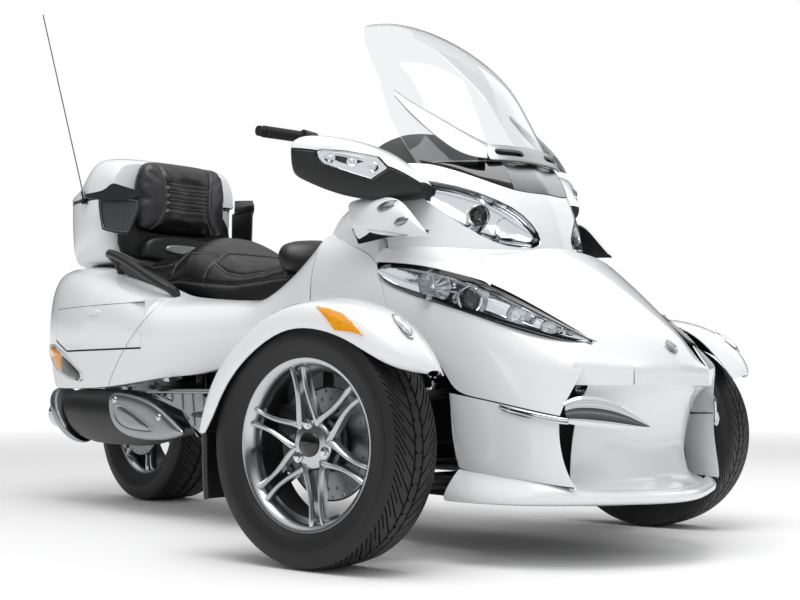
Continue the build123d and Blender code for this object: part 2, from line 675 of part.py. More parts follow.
def mirror_pods():
    stations = [
        (16, -318, -262, 905, 950, 10),
        (66, -352, -278, 903, 990, 20),
        (128, -432, -290, 905, 1046, 30),
        (186, -498, -322, 925, 1070, 36),
        (240, -552, -352, 950, 1078, 30),
        (262, -548, -380, 962, 1074, 24),
    ]
    pod = block(stations)
    wing = skin(
        [
            (-10, [(-356, 812), (-352, 836), (-330, 856)]),
            (110, [(-398, 806), (-392, 850), (-360, 904)]),
            (250, [(-404, 812), (-398, 860), (-376, 916)]),
        ],
        in_y,
        6.0,
    )
    both_sides("mirrors", seated(pod, made["upper_cowl"][0], made["dash"][0], *made["upper_lamps"]))
    wing = wing + box(-400, -280, 40, 100, 826, 838)
    both_sides("deflectors", seated(wing, made["upper_cowl"][0], *made["mirrors"]))


# ---- middle body
def console():
    """The white cover between the column and the seat."""
    low = high_rail_z + cross_r + seat_gap
    stations = [
        (300, -190, 190, low, 960, 60),
        (430, -186, 186, low, 950, 80),
        (560, -176, 176, low, 918, 80),
        (700, -150, 150, low, 858, 60),
        (console_end_y, -120, 120, low, 800, 40),
    ]
    lean = radians(column_lean)
    reach = column_reach + 100
    foot = (0, bar_y - reach * sin(lean), bar_z - reach * cos(lean))
    well = rod(foot, (0, bar_y, bar_z), column_r + 12.5)
    keep("console", hollowed(stations, skin_t, skin_t) - well)


def seat():
    """One padded piece for rider and passenger."""
    low = high_rail_z + high_rail_r + seat_gap
    front_y, rear_y = console_end_y + 12, case_front_y - 40
    half = rail_x + 12
    stations = [
        (0, 96, 800, 36),
        (0.075, half - 36, 842, 44),
        (0.286, half - 10, 842, 44),
        (0.453, half, 916, 60),
        (0.619, half, 930, 60),
        (0.875, half - 4, 884, 40),
        (1, half - 26, 884, 40),
    ]
    rows = [(front_y + share * (rear_y - front_y), -x, x, low, top, r) for share, x, top, r in stations]
    keep("seat", block(rows))


def side_panels():
    front_y, rear_y = fairing_end_y + seat_gap, bag_front_y - seat_gap
    rows = [
        (0, [(-336, 566), (-350, 656), (-342, 746), (-306, 832)]),
        (0.225, [(-312, 540), (-326, 620), (-314, 690), (-280, 740)]),
        (0.491, [(-300, 500), (-322, 580), (-312, 640), (-268, 676)]),
        (0.757, [(-318, 460), (-356, 560), (-344, 640), (-280, 690)]),
        (1, [(-380, 446), (-404, 560), (-392, 640), (-300, 706)]),
    ]
    rows = [(front_y + share * (rear_y - front_y), list(reversed(c))) for share, c in rows]
    both_sides("side_panels", skin(rows, in_y))


def bags():
    """Hollow side cases; each door is the middle of the outer wall, hinged below."""
    x0 = -bag_in_x
    x1 = -bag_out_x
    stations = [
        (bag_front_y, x1 + 28, x0, 440, 716, 40),
        (bag_front_y + 217, x1 + 4, x0, 420, 776, 50),
        (bag_front_y + 457, x1, x0, bag_low_z, 834, 60),
        (tail_y - 181, x1 + 24, x0, bag_low_z, bag_high_z, 60),
        (tail_y - 16, x1 + 92, x0, 456, 800, 50),
    ]
    shell = hollowed(stations, bag_wall, bag_wall)
    y0, y1, z0, z1 = bag_front_y + 67, tail_y - 221, door_z + 4, 700.0
    opening = box(x1 - 68, x1 + 50, y0, y1, z0, z1)
    window = box(x1 - 68, x1 + 50, y0 - open_gap, y1 + open_gap, z0 - 2 * open_gap, z1 + open_gap)
    door, case = shell & opening, shell - window
    for y in (y0 + 60, y1 - 70):
        sleeve = rod((door_x, y - 15, door_z), (door_x, y + 15, door_z), 5.2)
        bore = rod((door_x, y - 60, door_z), (door_x, y + 60, door_z), 2.5 + running_gap)
        door = (door + sleeve) - bore
        pin = rod((door_x, y - 26, door_z), (door_x, y + 26, door_z), 2.5)
        for end in (y - 26, y + 15.5):
            pin = pin + box(door_x - 4, door_x + 4, end, end + 10.5, z0 - 2 * open_gap - 4, door_z)
            pin = pin + rod((door_x, end, door_z), (door_x, end + 10.5, door_z), 4.0)
        case = case + pin
    pair("side_case", case)
    pair("side_case_door", door)


def top_case():
    y0, y1 = case_front_y, tail_y
    w = case_half_w
    rows = [
        (y0, -w + 34, w - 34, case_floor_z, case_rim_z, 30),
        (y0 + 120, -w, w, case_floor_z, case_rim_z, 30),
        (y1 - 60, -w + 10, w - 10, case_floor_z, case_rim_z, 30),
        (y1, -w + 50, w - 50, case_floor_z, case_rim_z, 30),
    ]
    body = hollowed(rows, bag_wall, bag_wall)
    cut_z = case_rim_z - 40
    body = body & box(-2 * w, 2 * w, y0 - w, y1 + w, case_floor_z - 10, cut_z)
    pin_y, pin_z = lid_pin_y, lid_pin_z
    for s in (-1, 1):
        x0, x1 = sorted((s * lug_x, s * (lug_x + 8)))
        ear = box(x0, x1, y0 - 16, y0 - 6, cut_z - 60, pin_z + 4)
        ear = ear + box(x0, x1, y0 - 16, y0 + 3, cut_z - 60, cut_z - 20)
        ends = sorted((s * (lug_x - 6), s * (lug_x + 34)))
        body = body + ear + across(*ends, pin_y, pin_z, 3.0)
    keep("top_case", body)
    rows = [
        (y0, -w + 34, w - 34, case_rim_z - 70, case_top_z - 14, 24),
        (y0 + 120, -w, w, case_rim_z - 70, case_top_z, 30),
        (y1 - 140, -w + 30, w - 30, case_rim_z - 70, case_top_z - 70, 30),
        (y1, -w + 50, w - 50, case_rim_z - 70, case_top_z - 108, 24),
    ]
    lid = hollowed(rows, bag_wall, bag_wall)
    lid = lid & box(-2 * w, 2 * w, y0 - w, y1 + w, cut_z + seat_gap, case_top_z + w)
    for s in (-1, 1):
        x0, x1 = sorted((s * (lug_x + 8.5), s * (lug_x + 26)))
        sleeve = across(x0, x1, pin_y, pin_z, 6.0) + box(x0, x1, pin_y, y0 + 2, pin_z - 3, pin_z + 6)
        lid = lid + (sleeve - across(x0 - 5, x1 + 5, pin_y, pin_z, 3.0 + running_gap))
    keep("top_case_lid", lid)


def passenger_rest():
    y = case_front_y
    half = lug_x - 12
    outline = [(-half + 28, case_top_z - 15), (0, case_top_z - 13), (half - 28, case_top_z - 15)]
    outline += [(half, 1160), (half - 8, 990), (0, 978), (8 - half, 990), (-half, 1160)]
    rest = front_prism(outline, y - 84, y - seat_gap)
    rest = rest & box(-half - 50, half + 50, y - 200, y, 900, case_top_z - 15)
    room = box(-half - 50, half + 50, y - open_gap, y + open_gap, case_rim_z - 45, case_top_z)
    keep("backrest", rest - room)
    rows = [(y - 160, -262, -236, 962, 1085, 8), (y - 80, -285, -236, 960, 1098, 12)]
    rows.append((y - seat_gap, -306, -236, 960, 1105, 16))
    both_sides("speakers", block(rows))
    route = [(-280, y - 123, 800), (-280, y - 113, 872), (-335, y - 108, 884), (-350, y - 213, 858)]
    route += [(-350, y - 351, 804), (-338, y - 473, 760), (-300, y - 498, 754), (-286, y - 501, 690)]
    both_sides("grab_handles", seated(rods(route, 13.0), made["side_case_right"][0]))


# ---- lower parts and the rear
def exhaust():
    end_y = wheelbase + 187
    pipe = rod((-316, pivot_y - 180, 300), (-312, end_y, 330), 62.0)
    tip = rod((-312, end_y - 10, 330), (-311, end_y + 50, 331.6), 54.0)
    tip = tip - rod((-312, end_y + 1, 330), (-311, end_y + 70, 331.6), 46.0)
    stay = box(-300, -rail_x, pivot_y - 14, pivot_y + 14, 320, 400)
    keep("muffler", seated(pipe + tip + stay, *tubes()))
    shield = skin(
        [
            (pivot_y - 205, [(-379, 300), (-381, 310), (-379, 320)]),
            (pivot_y - 40, [(-375, 262), (-383, 310), (-375, 360)]),
            (pivot_y + 160, [(-375, 262), (-383, 320), (-373, 392)]),
            (pivot_y + 270, [(-379, 330), (-381, 340), (-379, 350)]),
        ],
        in_y,
        -3.0,
    )
    keep("heat_shield", shield)


def footrests():
    rail_top = low_rail_z + rail_r + seat_gap
    board = box(-400, -250, 640, 960, 322, 346) + box(-262, -rail_x + 10, 700, 900, rail_top, 326)
    peg = box(-410, -rail_x - rail_r - seat_gap, pivot_y - 100, pivot_y + 6, 412, 428)
    both_sides("footrests", board, peg)


def tail():
    """The panel between the side cases, with the fender below it."""
    rear = tail_y - 30
    half = bag_in_x - seat_gap
    high = case_floor_z - seat_gap
    rows = [(tail_front_y, -half, half, 644, high, 30), (rear, -200, 200, 536, high, 30)]
    skirt = hollowed(rows, skin_t, skin_t)
    ring = [(-128, 318), (-124, 332), (0, 340), (124, 332), (128, 318), (122, 318), (118, 326), (0, 334)]
    ring = Pos(0, wheelbase, 0) * revolved(ring + [(-118, 326), (-122, 318)], 0, rear_z)
    fender = ring & box(-200, 200, wheelbase - 160, wheelbase + 330, rear_z + 60, 700)
    keep("tail_panel", skirt + fender)
    plate = box(-95, 95, rear + seat_gap, rear + 6, 560, 700)
    for x in (-73, 73):
        for z in (595, 665):
            plate = plate - rod((x, rear - 5, z), (x, rear + 12, z), 3.2)
    keep("plate_holder", plate)
    lamp = box(-190, 190, rear + seat_gap, rear + 26, 742, 800)
    x, y = -bag_out_x, tail_y
    rows = [(y - 401, x, x + 8, 452, 474, 3), (y - 261, x + 2, x + 14, 462, 520, 3)]
    rows.append((y - 141, x + 20, x + 36, 500, 566, 3))
    side = seated(block(rows), *made["side_case_right"])
    keep("rear_lamps", lamp, side, mirrored(side))
    x, y, z = -case_half_w - 8, antenna_y, case_rim_z - 18
    mast = rod((x, y, z), (x, y + antenna_h * tan(radians(antenna_lean)), z + antenna_h), 2.2)
    foot = rod((x, y - 10, z - 20), (x, y + 1, z + 2), 7.0)
    foot = foot + rod((x, y - 12, z - 30), (x, y - 8, z - 16), 7.0)
    foot = foot + box(x - 4, -case_half_w + 3, y - 22, y + 2, z - 44, z - 24)
    keep("antenna", seated(mast + foot, *made["top_case"]))


def fins():
    """Two bright leaf-shaped blades each side of the scoop."""
    rows = [(-560, [(-132, 324), (-130, 327), (-126, 330)]), (-520, [(-196, 326), (-196, 352), (-190, 366)])]
    rows.append((-452, [(-290, 330), (-292, 360), (-286, 398)]))
    blade = skin(rows, in_y, 8.0) + box(-306, -250, -470, -400, 338, 352)
    both_sides("fins", seated(blade, *made["side_fairings"], *made["front_bumper"]))


def save_all():
    os.makedirs("parts", exist_ok=True)
    for name, solids in made.items():
        placed = [Pos(0, -middle_y, 0) * solid for solid in solids]
        shape = placed[0] if len(placed) == 1 else Compound(children=placed)
        export_step(shape, f"parts/{name}.step")


front_wheels()
rear_wheel()
suspension()
knuckles(fenders())
handlebar()
bumper()
cowl()
front_cheeks()
low_lamps()
frame(steering_link())
shocks()
engine()
swingarm()
hood()
windshield()
bracket()
dash()
mirror_pods()
console()
seat()
side_panels()
bags()
top_case()
passenger_rest()
exhaust()
footrests()
tail()
fins()
save_all()
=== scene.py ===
import json
from math import atan2, cos, hypot, pi, radians, sin

import bmesh
import bpy
from mathutils import Matrix, Vector
from mathutils.bvhtree import BVHTree

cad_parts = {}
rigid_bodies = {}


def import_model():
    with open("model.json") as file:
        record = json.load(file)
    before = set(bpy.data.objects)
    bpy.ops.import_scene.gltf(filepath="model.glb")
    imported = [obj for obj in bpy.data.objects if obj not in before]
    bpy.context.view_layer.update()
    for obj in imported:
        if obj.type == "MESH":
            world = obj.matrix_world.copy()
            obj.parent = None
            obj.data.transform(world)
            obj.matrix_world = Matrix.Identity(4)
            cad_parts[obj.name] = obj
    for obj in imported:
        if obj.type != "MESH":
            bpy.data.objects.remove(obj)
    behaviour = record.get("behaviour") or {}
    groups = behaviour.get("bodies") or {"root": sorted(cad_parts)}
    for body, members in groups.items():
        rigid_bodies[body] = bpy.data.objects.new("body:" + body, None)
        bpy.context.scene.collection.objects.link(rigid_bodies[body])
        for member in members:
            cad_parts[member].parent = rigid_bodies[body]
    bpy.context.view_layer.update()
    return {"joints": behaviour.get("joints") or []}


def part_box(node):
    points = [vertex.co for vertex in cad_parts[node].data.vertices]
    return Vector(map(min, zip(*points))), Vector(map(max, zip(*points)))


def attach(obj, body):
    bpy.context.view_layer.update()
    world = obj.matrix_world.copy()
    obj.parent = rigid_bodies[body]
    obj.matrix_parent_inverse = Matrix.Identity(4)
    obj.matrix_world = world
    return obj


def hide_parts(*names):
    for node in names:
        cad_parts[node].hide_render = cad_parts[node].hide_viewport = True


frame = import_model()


def middleOf(*nodes):
    corners = [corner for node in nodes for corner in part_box(node)]
    return sum(corners, Vector()) / len(corners)


frontMiddle = middleOf("front_tyre_right", "front_tyre_left")
rearMiddle = middleOf("rear_tyre")
wheelbase = (rearMiddle.y - frontMiddle.y) * 1000
steered = next(joint for joint in frame["joints"] if joint["name"] == "steer_right")
kingpinX = abs(steered["pos_m"][0]) * 1000
wheelSpin = next(joint for joint in frame["joints"] if joint["name"] == "wheel_spin_right")
parkAngle = atan2(wheelSpin["axis"][1], wheelSpin["axis"][0])
wheelX = kingpinX + (Vector(steered["pos_m"]) - Vector(wheelSpin["pos_m"])).length * 1000
print("frame loaded, wheelbase", round(wheelbase), "mm")


def spot(x, y, z):
    return Vector((x / 1000, y / 1000 + frontMiddle.y, z / 1000))


def toLinear(code):
    parts = [int(code[i:i + 2], 16) / 255 for i in (1, 3, 5)]
    return tuple(c / 12.92 if c <= 0.04045 else ((c + 0.055) / 1.055) ** 2.4 for c in parts) + (1.0,)


# lens in millimetres, floor in metres, lamps in watts
stageLook = {"floorSize": 60, "lens": 54.47, "keyLight": 120, "fillLight": 26, "world": 0.62}


def addCamera():
    view = bpy.data.cameras.new("camera")
    view.lens = stageLook["lens"]
    camera = bpy.data.objects.new("camera", view)
    camera.location = spot(-2424, -2242, 413)
    turn, rise = radians(42.09), radians(4.2)
    forward = Vector((sin(turn) * cos(rise), cos(turn) * cos(rise), sin(rise)))
    camera.rotation_mode = "QUATERNION"
    camera.rotation_quaternion = forward.to_track_quat("-Z", "Y")
    bpy.context.scene.collection.objects.link(camera)
    bpy.context.scene.camera = camera


def addNode(finish, kind, sockets, **settings):
    # one node: its settings, and for each socket a value or the output it is fed from
    tree = finish.node_tree
    node = tree.nodes.new(kind)
    for key, value in settings.items():
        setattr(node, key, value)
    for key, value in sockets.items():
        if isinstance(value, bpy.types.NodeSocket):
            tree.links.new(value, node.inputs[key])
        else:
            node.inputs[key].default_value = value
    return node


def addStage():
    # a pale floor that runs out into a white surround; both show plain white to the eye
    size = stageLook["floorSize"]
    shape = bmesh.new()
    bmesh.ops.create_grid(shape, x_segments=8, y_segments=8, size=size / 2)
    data = bpy.data.meshes.new("floor")
    shape.to_mesh(data)
    shape.free()
    floor = bpy.data.objects.new("floor", data)
    bpy.context.scene.collection.objects.link(floor)
    paper = bpy.data.materials.new("studioPaper")  # matt paper: even, no gloss
    paper.use_nodes = True
    paper.node_tree.nodes.clear()
    rays = addNode(paper, "ShaderNodeLightPath", {})
    place = addNode(paper, "ShaderNodeTexCoord", {})
    away = addNode(paper, "ShaderNodeVectorMath", {0: place.outputs["Object"]}, operation="LENGTH")
    far = addNode(paper, "ShaderNodeMapRange", {0: away.outputs["Value"], 1: 3.5, 2: 9.0})
    matt = addNode(paper, "ShaderNodeBsdfDiffuse", {"Color": toLinear("#FBFBFB")})
    plain = addNode(paper, "ShaderNodeEmission", {"Color": (1, 1, 1, 1), "Strength": 1.0})
    seen = addNode(paper, "ShaderNodeMath", {0: far.outputs[0], 1: rays.outputs["Is Camera Ray"]},
                   operation="MULTIPLY")
    mixed = addNode(paper, "ShaderNodeMixShader", {0: seen.outputs[0], 1: matt.outputs[0], 2: plain.outputs[0]})
    addNode(paper, "ShaderNodeOutputMaterial", {"Surface": mixed.outputs[0]})
    data.materials.append(paper)
    world = bpy.data.worlds.new("studio")
    bpy.context.scene.world = world
    world.use_nodes = True
    world.node_tree.nodes.clear()
    rays = addNode(world, "ShaderNodeLightPath", {})
    straight = rays.outputs["Is Camera Ray"]
    mirrored, through = rays.outputs["Is Glossy Ray"], rays.outputs["Is Transmission Ray"]
    place = addNode(world, "ShaderNodeTexCoord", {})
    rise = addNode(world, "ShaderNodeSeparateXYZ", {0: place.outputs["Generated"]})
    ramp = addNode(world, "ShaderNodeValToRGB", {0: rise.outputs["Z"]})  # white low down, dark walls, pale ceiling
    for height, tone in ((0.03, 0.95), (0.09, 0.06), (0.42, 0.16), (0.75, 0.9)):
        ramp.color_ramp.elements.new(height).color = (tone, tone, tone, 1)
    ramp.color_ramp.elements[0].color = ramp.color_ramp.elements[-1].color = (1, 1, 1, 1)
    seen = addNode(world, "ShaderNodeMath", {0: straight, 1: through}, operation="MAXIMUM")
    level = addNode(world, "ShaderNodeMapRange", {0: mirrored, 3: stageLook["world"], 4: ramp.outputs[0]})
    level = addNode(world, "ShaderNodeMapRange", {0: seen.outputs[0], 3: level.outputs[0], 4: 1.0})
    sky = addNode(world, "ShaderNodeBackground", {"Color": (1, 1, 1, 1), "Strength": level.outputs[0]})
    addNode(world, "ShaderNodeOutputWorld", {"Surface": sky.outputs[0]})
    bpy.context.scene.view_settings.view_transform = "Standard"


def addLamp(name, place, target, size, power):
    light = bpy.data.lights.new(name, "AREA")
    light.shape, light.size, light.energy = "SQUARE", size, power
    lamp = bpy.data.objects.new(name, light)
    lamp.location = place
    lamp.rotation_mode = "QUATERNION"
    lamp.rotation_quaternion = (Vector(target) - Vector(place)).to_track_quat("-Z", "Y")
    bpy.context.scene.collection.objects.link(lamp)


def addLights():
    addLamp("keyLight", (-1.2, -1.6, 4.4), (0, -0.2, 0.5), 3.0, stageLook["keyLight"])
    addLamp("fillLight", (3.4, -1.0, 3.0), (0, 0, 0.5), 3.0, stageLook["fillLight"])


addCamera()
addStage()
addLights()
print("stage ready")


# finishes: colour and roughness, then what the maker's surface adds.
# grain is (millimetres from hill to hill, millimetres of relief, stretch), cells the scale of a cell pattern,
# haze the scale of a soft cloud; tone is (shade at start, shade at end, start, end), gloss the roughness range
finishLook = {
    # pearl white under clear coat on moulded panels: wet gloss, mica flakes half a millimetre apart
    "pearlPaint": {"colour": "#ECEDEF", "Roughness": 0.34, "Coat Weight": 1.0, "Coat Roughness": 0.03,
                   "Coat IOR": 1.5, "cells": 1600, "tone": ("#E6E8EB", "#EFF0F2", 0.1, 0.8), "gloss": (0.30, 0.40)},
    # moulded ABS with a spark-eroded grain: soft sheen, charcoal in the light
    "blackPlastic": {"colour": "#0B0B0C", "Roughness": 0.42, "grain": (1.4, 0.05), "tone": ("#161718", "#232425")},
    # dull dark plastic for the gauge's face, the trunk and the backs of parts; on the inside faces of the painted
    # panels it is painted shade, for the dark inside of the body
    "darkPlasticAndShade": {"colour": "#0E0E0F", "Roughness": 0.8, "grain": (3.0, 0.1)},
    # black acrylic trim: deep, mirror-like, with faint handling marks
    "glossBlack": {"colour": "#08090A", "Roughness": 0.07, "Coat Weight": 0.6, "Coat Roughness": 0.03,
                   "haze": 30, "gloss": (0.04, 0.14)},
    # satin black powder coat on steel: slight orange peel
    "powderCoat": {"colour": "#0C0C0D", "Roughness": 0.38, "grain": (2.2, 0.06), "tone": ("#101112", "#1C1D1E")},
    # cast aluminium, silver lacquer and clear coat: bright, lightly grained
    "castSilver": {"colour": "#C4C6C9", "Roughness": 0.2, "Metallic": 1.0, "Coat Weight": 0.5,
                   "Coat Roughness": 0.04, "grain": (1.6, 0.01), "tone": ("#B9BBBF", "#CBCDD0")},
    # satin anodised aluminium: fine blasted surface, soft highlights
    "satinSilver": {"colour": "#8E9093", "Roughness": 0.3, "Metallic": 1.0, "grain": (0.9, 0.015),
                    "tone": ("#9FA1A5", "#B2B4B7")},
    # die-cast metal under warm grey paint: half matt
    "sandGrey": {"colour": "#8A8C8E", "Roughness": 0.34, "Metallic": 0.75, "grain": (1.8, 0.02),
                 "tone": ("#989A9B", "#AEAFAF")},
    # chrome plate: a mirror with the faintest haze
    "chrome": {"colour": "#DADCDE", "Roughness": 0.05, "Metallic": 1.0, "haze": 40, "gloss": (0.03, 0.09)},
    # aluminised reflector: a bright mirror, a little wavy
    "lampSilver": {"colour": "#D5D8DB", "Roughness": 0.1, "Metallic": 1.0, "grain": (25.0, 0.4)},
    # ground steel of brake discs: fine rings, grey
    "turnedSteel": {"colour": "#8C8D8F", "Roughness": 0.32, "Metallic": 1.0, "grain": (1.2, 0.02, (0.05, 1, 1))},
    # carbon-black tyre rubber: dull, a trace of bloom on the walls
    "tyreRubber": {"colour": "#0B0B0C", "Roughness": 0.55, "grain": (2.0, 0.12), "tone": ("#0E0E0F", "#18181A")},
    # soft moulded rubber: matt black
    "gripRubber": {"colour": "#121213", "Roughness": 0.7, "grain": (1.2, 0.08)},
    # embossed vinyl leather: pebbles of 3 mm with creases between, satin sheen; its tone is painted shade, darker
    # in the creases and lighter on the pebbles' tops
    "coverLeather": {"colour": "#070708", "Roughness": 0.36, "Coat Weight": 0.2, "Coat Roughness": 0.25,
                     "cells": 330, "pebble": 0.8, "tone": ("#131314", "#070708", 0.1, 0.7)},
    # the same leather made paler for the backrest's sides: painted sheen, the light the far side catches, given to
    # both sides, with shade painted into its creases too
    "coverLeatherPaleSheen": {"colour": "#242427", "Roughness": 0.36, "Coat Weight": 0.2, "Coat Roughness": 0.25,
                         "cells": 330, "pebble": 0.8, "tone": ("#3A3A3D", "#242427", 0.1, 0.7)},
    # bonded polyester thread: twisted, pale grey
    "seamThread": {"colour": "#6E6F72", "Roughness": 0.7, "Sheen Weight": 0.3, "grain": (1.0, 0.1)},
    # moulded polycarbonate lamp cover: clear and glossy
    "clearCover": {"colour": "#FBFCFD", "Roughness": 0.0, "Transmission Weight": 1.0, "IOR": 1.25,
                   "grain": (90.0, 0.1)},
    # 4 mm acrylic sheet: clear with a faint smoke
    "screenAcrylic": {"colour": "#F1F3F4", "Roughness": 0.0, "Transmission Weight": 1.0, "IOR": 1.3,
                      "grain": (160.0, 0.1)},
    # amber acrylic with fluted optics behind a smooth face
    "amberCover": {"colour": "#EE9A10", "Roughness": 0.12, "Coat Weight": 1.0, "Coat Roughness": 0.02,
                   "cells": 180, "tone": ("#DE8408", "#F2A416", 0.1, 0.7)},
    # red acrylic tail lamp
    "redCover": {"colour": "#A11014", "Roughness": 0.1, "Coat Weight": 1.0, "Coat Roughness": 0.02,
                 "cells": 180, "tone": ("#8C0B10", "#B41A1C", 0.1, 0.7)},
    # punched grille cloth over a loudspeaker: holes in even rows, 4 mm apart
    "perforatedSteel": {"colour": "#3A3B3D", "Roughness": 0.4, "Metallic": 0.6, "cells": 250, "Randomness": 0.0,
                        "tone": ("#0A0A0A", "#55575A", 0.25, 0.4)},
}
toneSpan = (0.35, 0.65)  # where a tone drifts from shade to shade unless it says so itself
leatherBump = 0.35  # how strongly the leather's pebbles show


def newFinish(name):
    # takes the pattern's values out of the finish's row; what is left are the shader's own sockets
    look = dict(finishLook[name])
    grain, haze, cells, pebble = (look.pop(key, None) for key in ("grain", "haze", "cells", "pebble"))
    tone, spread, loose = look.pop("tone", None), look.pop("gloss", None), look.pop("Randomness", 1.0)
    look["Base Color"] = toLinear(look.pop("colour"))
    finish = bpy.data.materials.new(name)
    finish.use_nodes = True
    finish.node_tree.nodes.clear()
    shader = addNode(finish, "ShaderNodeBsdfPrincipled", look)
    addNode(finish, "ShaderNodeOutputMaterial", {"Surface": shader.outputs[0]})
    place = addNode(finish, "ShaderNodeTexCoord", {}).outputs["Object"]
    amount = bump = None
    if grain:
        hill, relief, *stretch = grain
        if stretch:
            place = addNode(finish, "ShaderNodeMapping", {"Vector": place, "Scale": stretch[0]}).outputs[0]
        amount = addNode(finish, "ShaderNodeTexNoise",
                         {"Vector": place, "Scale": 1000 / hill, "Detail": 2.0}).outputs[0]
        bump = addNode(finish, "ShaderNodeBump", {"Height": amount, "Distance": relief / 1000})
    if haze:
        amount = addNode(finish, "ShaderNodeTexNoise", {"Vector": place, "Scale": haze, "Detail": 3.0}).outputs[0]
    if cells:
        sockets = {"Vector": place, "Scale": cells, "Randomness": loose}
        amount = addNode(finish, "ShaderNodeTexVoronoi", sockets).outputs["Distance"]
    if pebble:
        bump = addNode(finish, "ShaderNodeBump", {"Height": amount, "Strength": leatherBump,
                "Distance": pebble / 1000},
                       invert=True)
    if bump:
        finish.node_tree.links.new(bump.outputs[0], shader.inputs["Normal"])
    if tone:
        start, end = tone[2:] or toneSpan
        ramp = addNode(finish, "ShaderNodeValToRGB", {0: amount})
        for stop, position, shade in zip(ramp.color_ramp.elements, (start, end), tone):
            stop.position, stop.color = position, toLinear(shade)
        finish.node_tree.links.new(ramp.outputs[0], shader.inputs["Base Color"])
    if spread:
        drift = addNode(finish, "ShaderNodeMapRange", {0: amount, 3: spread[0], 4: spread[1]})
        finish.node_tree.links.new(drift.outputs[0], shader.inputs["Roughness"])
    return finish


names = ("pearlPaint", "blackPlastic", "darkPlasticAndShade", "glossBlack", "powderCoat", "castSilver", "satinSilver",
         "sandGrey")
pearl, moulded, darkAndShade, gloss, coated, wheelSilver, satin, sand = map(newFinish, names)
names = ("chrome", "lampSilver", "turnedSteel", "tyreRubber", "gripRubber", "clearCover", "screenAcrylic")
plated, reflector, steel, rubber, soft, clear, screen = map(newFinish, names)
names = ("amberCover", "redCover", "perforatedSteel", "seamThread", "coverLeather", "coverLeatherPaleSheen")
amber, red, grille, thread, leather, leatherPaleSheen = map(newFinish, names)
# finishes for the outside and the inside of a piece, with a slot name
# the inside finish of the painted panels is painted shade
painted = [pearl, darkAndShade], "white_paint"
chromed = [plated], "chrome"
lensed = [clear], "clear_glass"
shiny = [gloss], "black_plastic"
plastic = [moulded], "black_plastic"
anodised = [satin], "silver_cast"
steelPart = [coated], "frame_paint"
silvered = [reflector], "chrome"
print("finishes ready")


weldDist = 0.00002  # points nearer than this, in metres, become one


def loft(shape, rows, ring=False):
    # a skin through rows of points: the first row is drawn and the others are extruded from it
    line = [shape.verts.new(spot(*point)) for point in rows[0]]
    edges = [shape.edges.new(pair) for pair in zip(line, line[1:])]
    if ring:
        edges.append(shape.edges.new((line[-1], line[0])))
    grid = [line]
    for row in rows[1:]:
        grown = bmesh.ops.extrude_edge_only(shape, edges=edges)["geom"]
        fresh = {part for part in grown if isinstance(part, bmesh.types.BMVert)}
        edges = [part for part in grown if isinstance(part, bmesh.types.BMEdge) and fresh.issuperset(part.verts)]
        line = [next(e.other_vert(v) for e in v.link_edges if e.other_vert(v) in fresh) for v in line]
        for vert, point in zip(line, row):
            vert.co = spot(*point)
        grid.append(line)
    return grid


def crease(shape, line, amount=1.0, ring=False):
    # keeps an edge crisp when the skin is smoothed
    layer = shape.edges.layers.float.get("crease_edge") or shape.edges.layers.float.new("crease_edge")
    pairs = list(zip(line, line[1:])) + ([(line[-1], line[0])] if ring else [])
    for pair in pairs:
        edge = shape.edges.get(pair)
        if edge:
            edge[layer] = amount


def closeEnd(shape, line, sharp=0.0):
    # closes the open end of a ring-shaped skin with one fan of faces
    face = bmesh.ops.contextual_create(shape, geom=line)["faces"][0]
    if sharp:
        crease(shape, line, sharp, True)
    bmesh.ops.poke(shape, faces=[face])


def closeEnds(shape, grid, first=0.0, last=0.0):
    closeEnd(shape, grid[0], first)
    closeEnd(shape, grid[-1], last)


def faceOut(shape, aim):
    # turns an open skin so that its outer side looks along aim
    bmesh.ops.recalc_face_normals(shape, faces=shape.faces)
    total = sum((face.normal * face.calc_area() for face in shape.faces), Vector())
    if total.dot(Vector(aim)) < 0:
        bmesh.ops.reverse_faces(shape, faces=shape.faces)


def addPiece(name, shape, finishes, body="chassis", slot=None, replaced=(), sharp=35, outward=True):
    if outward:
        bmesh.ops.recalc_face_normals(shape, faces=shape.faces)
    data = bpy.data.meshes.new(name)
    shape.to_mesh(data)
    shape.free()
    data.shade_smooth()
    data.set_sharp_from_angle(angle=radians(sharp))
    piece = bpy.data.objects.new(name, data)
    bpy.context.scene.collection.objects.link(piece)
    for finish in finishes:
        data.materials.append(finish)
    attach(piece, body)
    if replaced:
        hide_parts(*replaced)
    return piece


def smoothen(piece, levels=2):
    mod = piece.modifiers.new("smoothSkin", "SUBSURF")
    mod.levels = mod.render_levels = levels


def thicken(piece, wall=4.0, rim=1.0, lined=True):
    # gives a skin its wall, inwards, with the second finish inside, and rounds its rims
    mod = piece.modifiers.new("wall", "SOLIDIFY")
    mod.thickness, mod.offset = wall / 1000, -1.0
    mod.use_even_offset = True
    mod.material_offset = 1 if lined else 0
    if rim:
        mod = piece.modifiers.new("rims", "BEVEL")
        mod.width, mod.segments, mod.limit_method, mod.angle_limit = rim / 1000, 2, "ANGLE", radians(50)
        mod.harden_normals = True


def settle(piece):
    # applies the live modifiers
    now = bpy.context.evaluated_depsgraph_get()
    made = bpy.data.meshes.new_from_object(piece.evaluated_get(now), preserve_all_data_layers=True, depsgraph=now)
    piece.modifiers.clear()
    old, piece.data = piece.data, made
    bpy.data.meshes.remove(old)


def cutBy(piece, shape, operation="DIFFERENCE"):
    # cuts a piece with a closed shape, or keeps only what lies in it
    bmesh.ops.recalc_face_normals(shape, faces=shape.faces)
    data = bpy.data.meshes.new("cutter")
    shape.to_mesh(data)
    shape.free()
    cutter = bpy.data.objects.new("cutter", data)
    bpy.context.scene.collection.objects.link(cutter)
    mod = piece.modifiers.new("cut", "BOOLEAN")
    mod.object, mod.operation, mod.solver = cutter, operation, "EXACT"
    settle(piece)
    bpy.data.objects.remove(cutter)
    bpy.data.meshes.remove(data)


# which side, how pieces on it are labelled, and how bodies and nodes name it
sides = ((-1, "Right", "right"), (1, "Left", "left"))


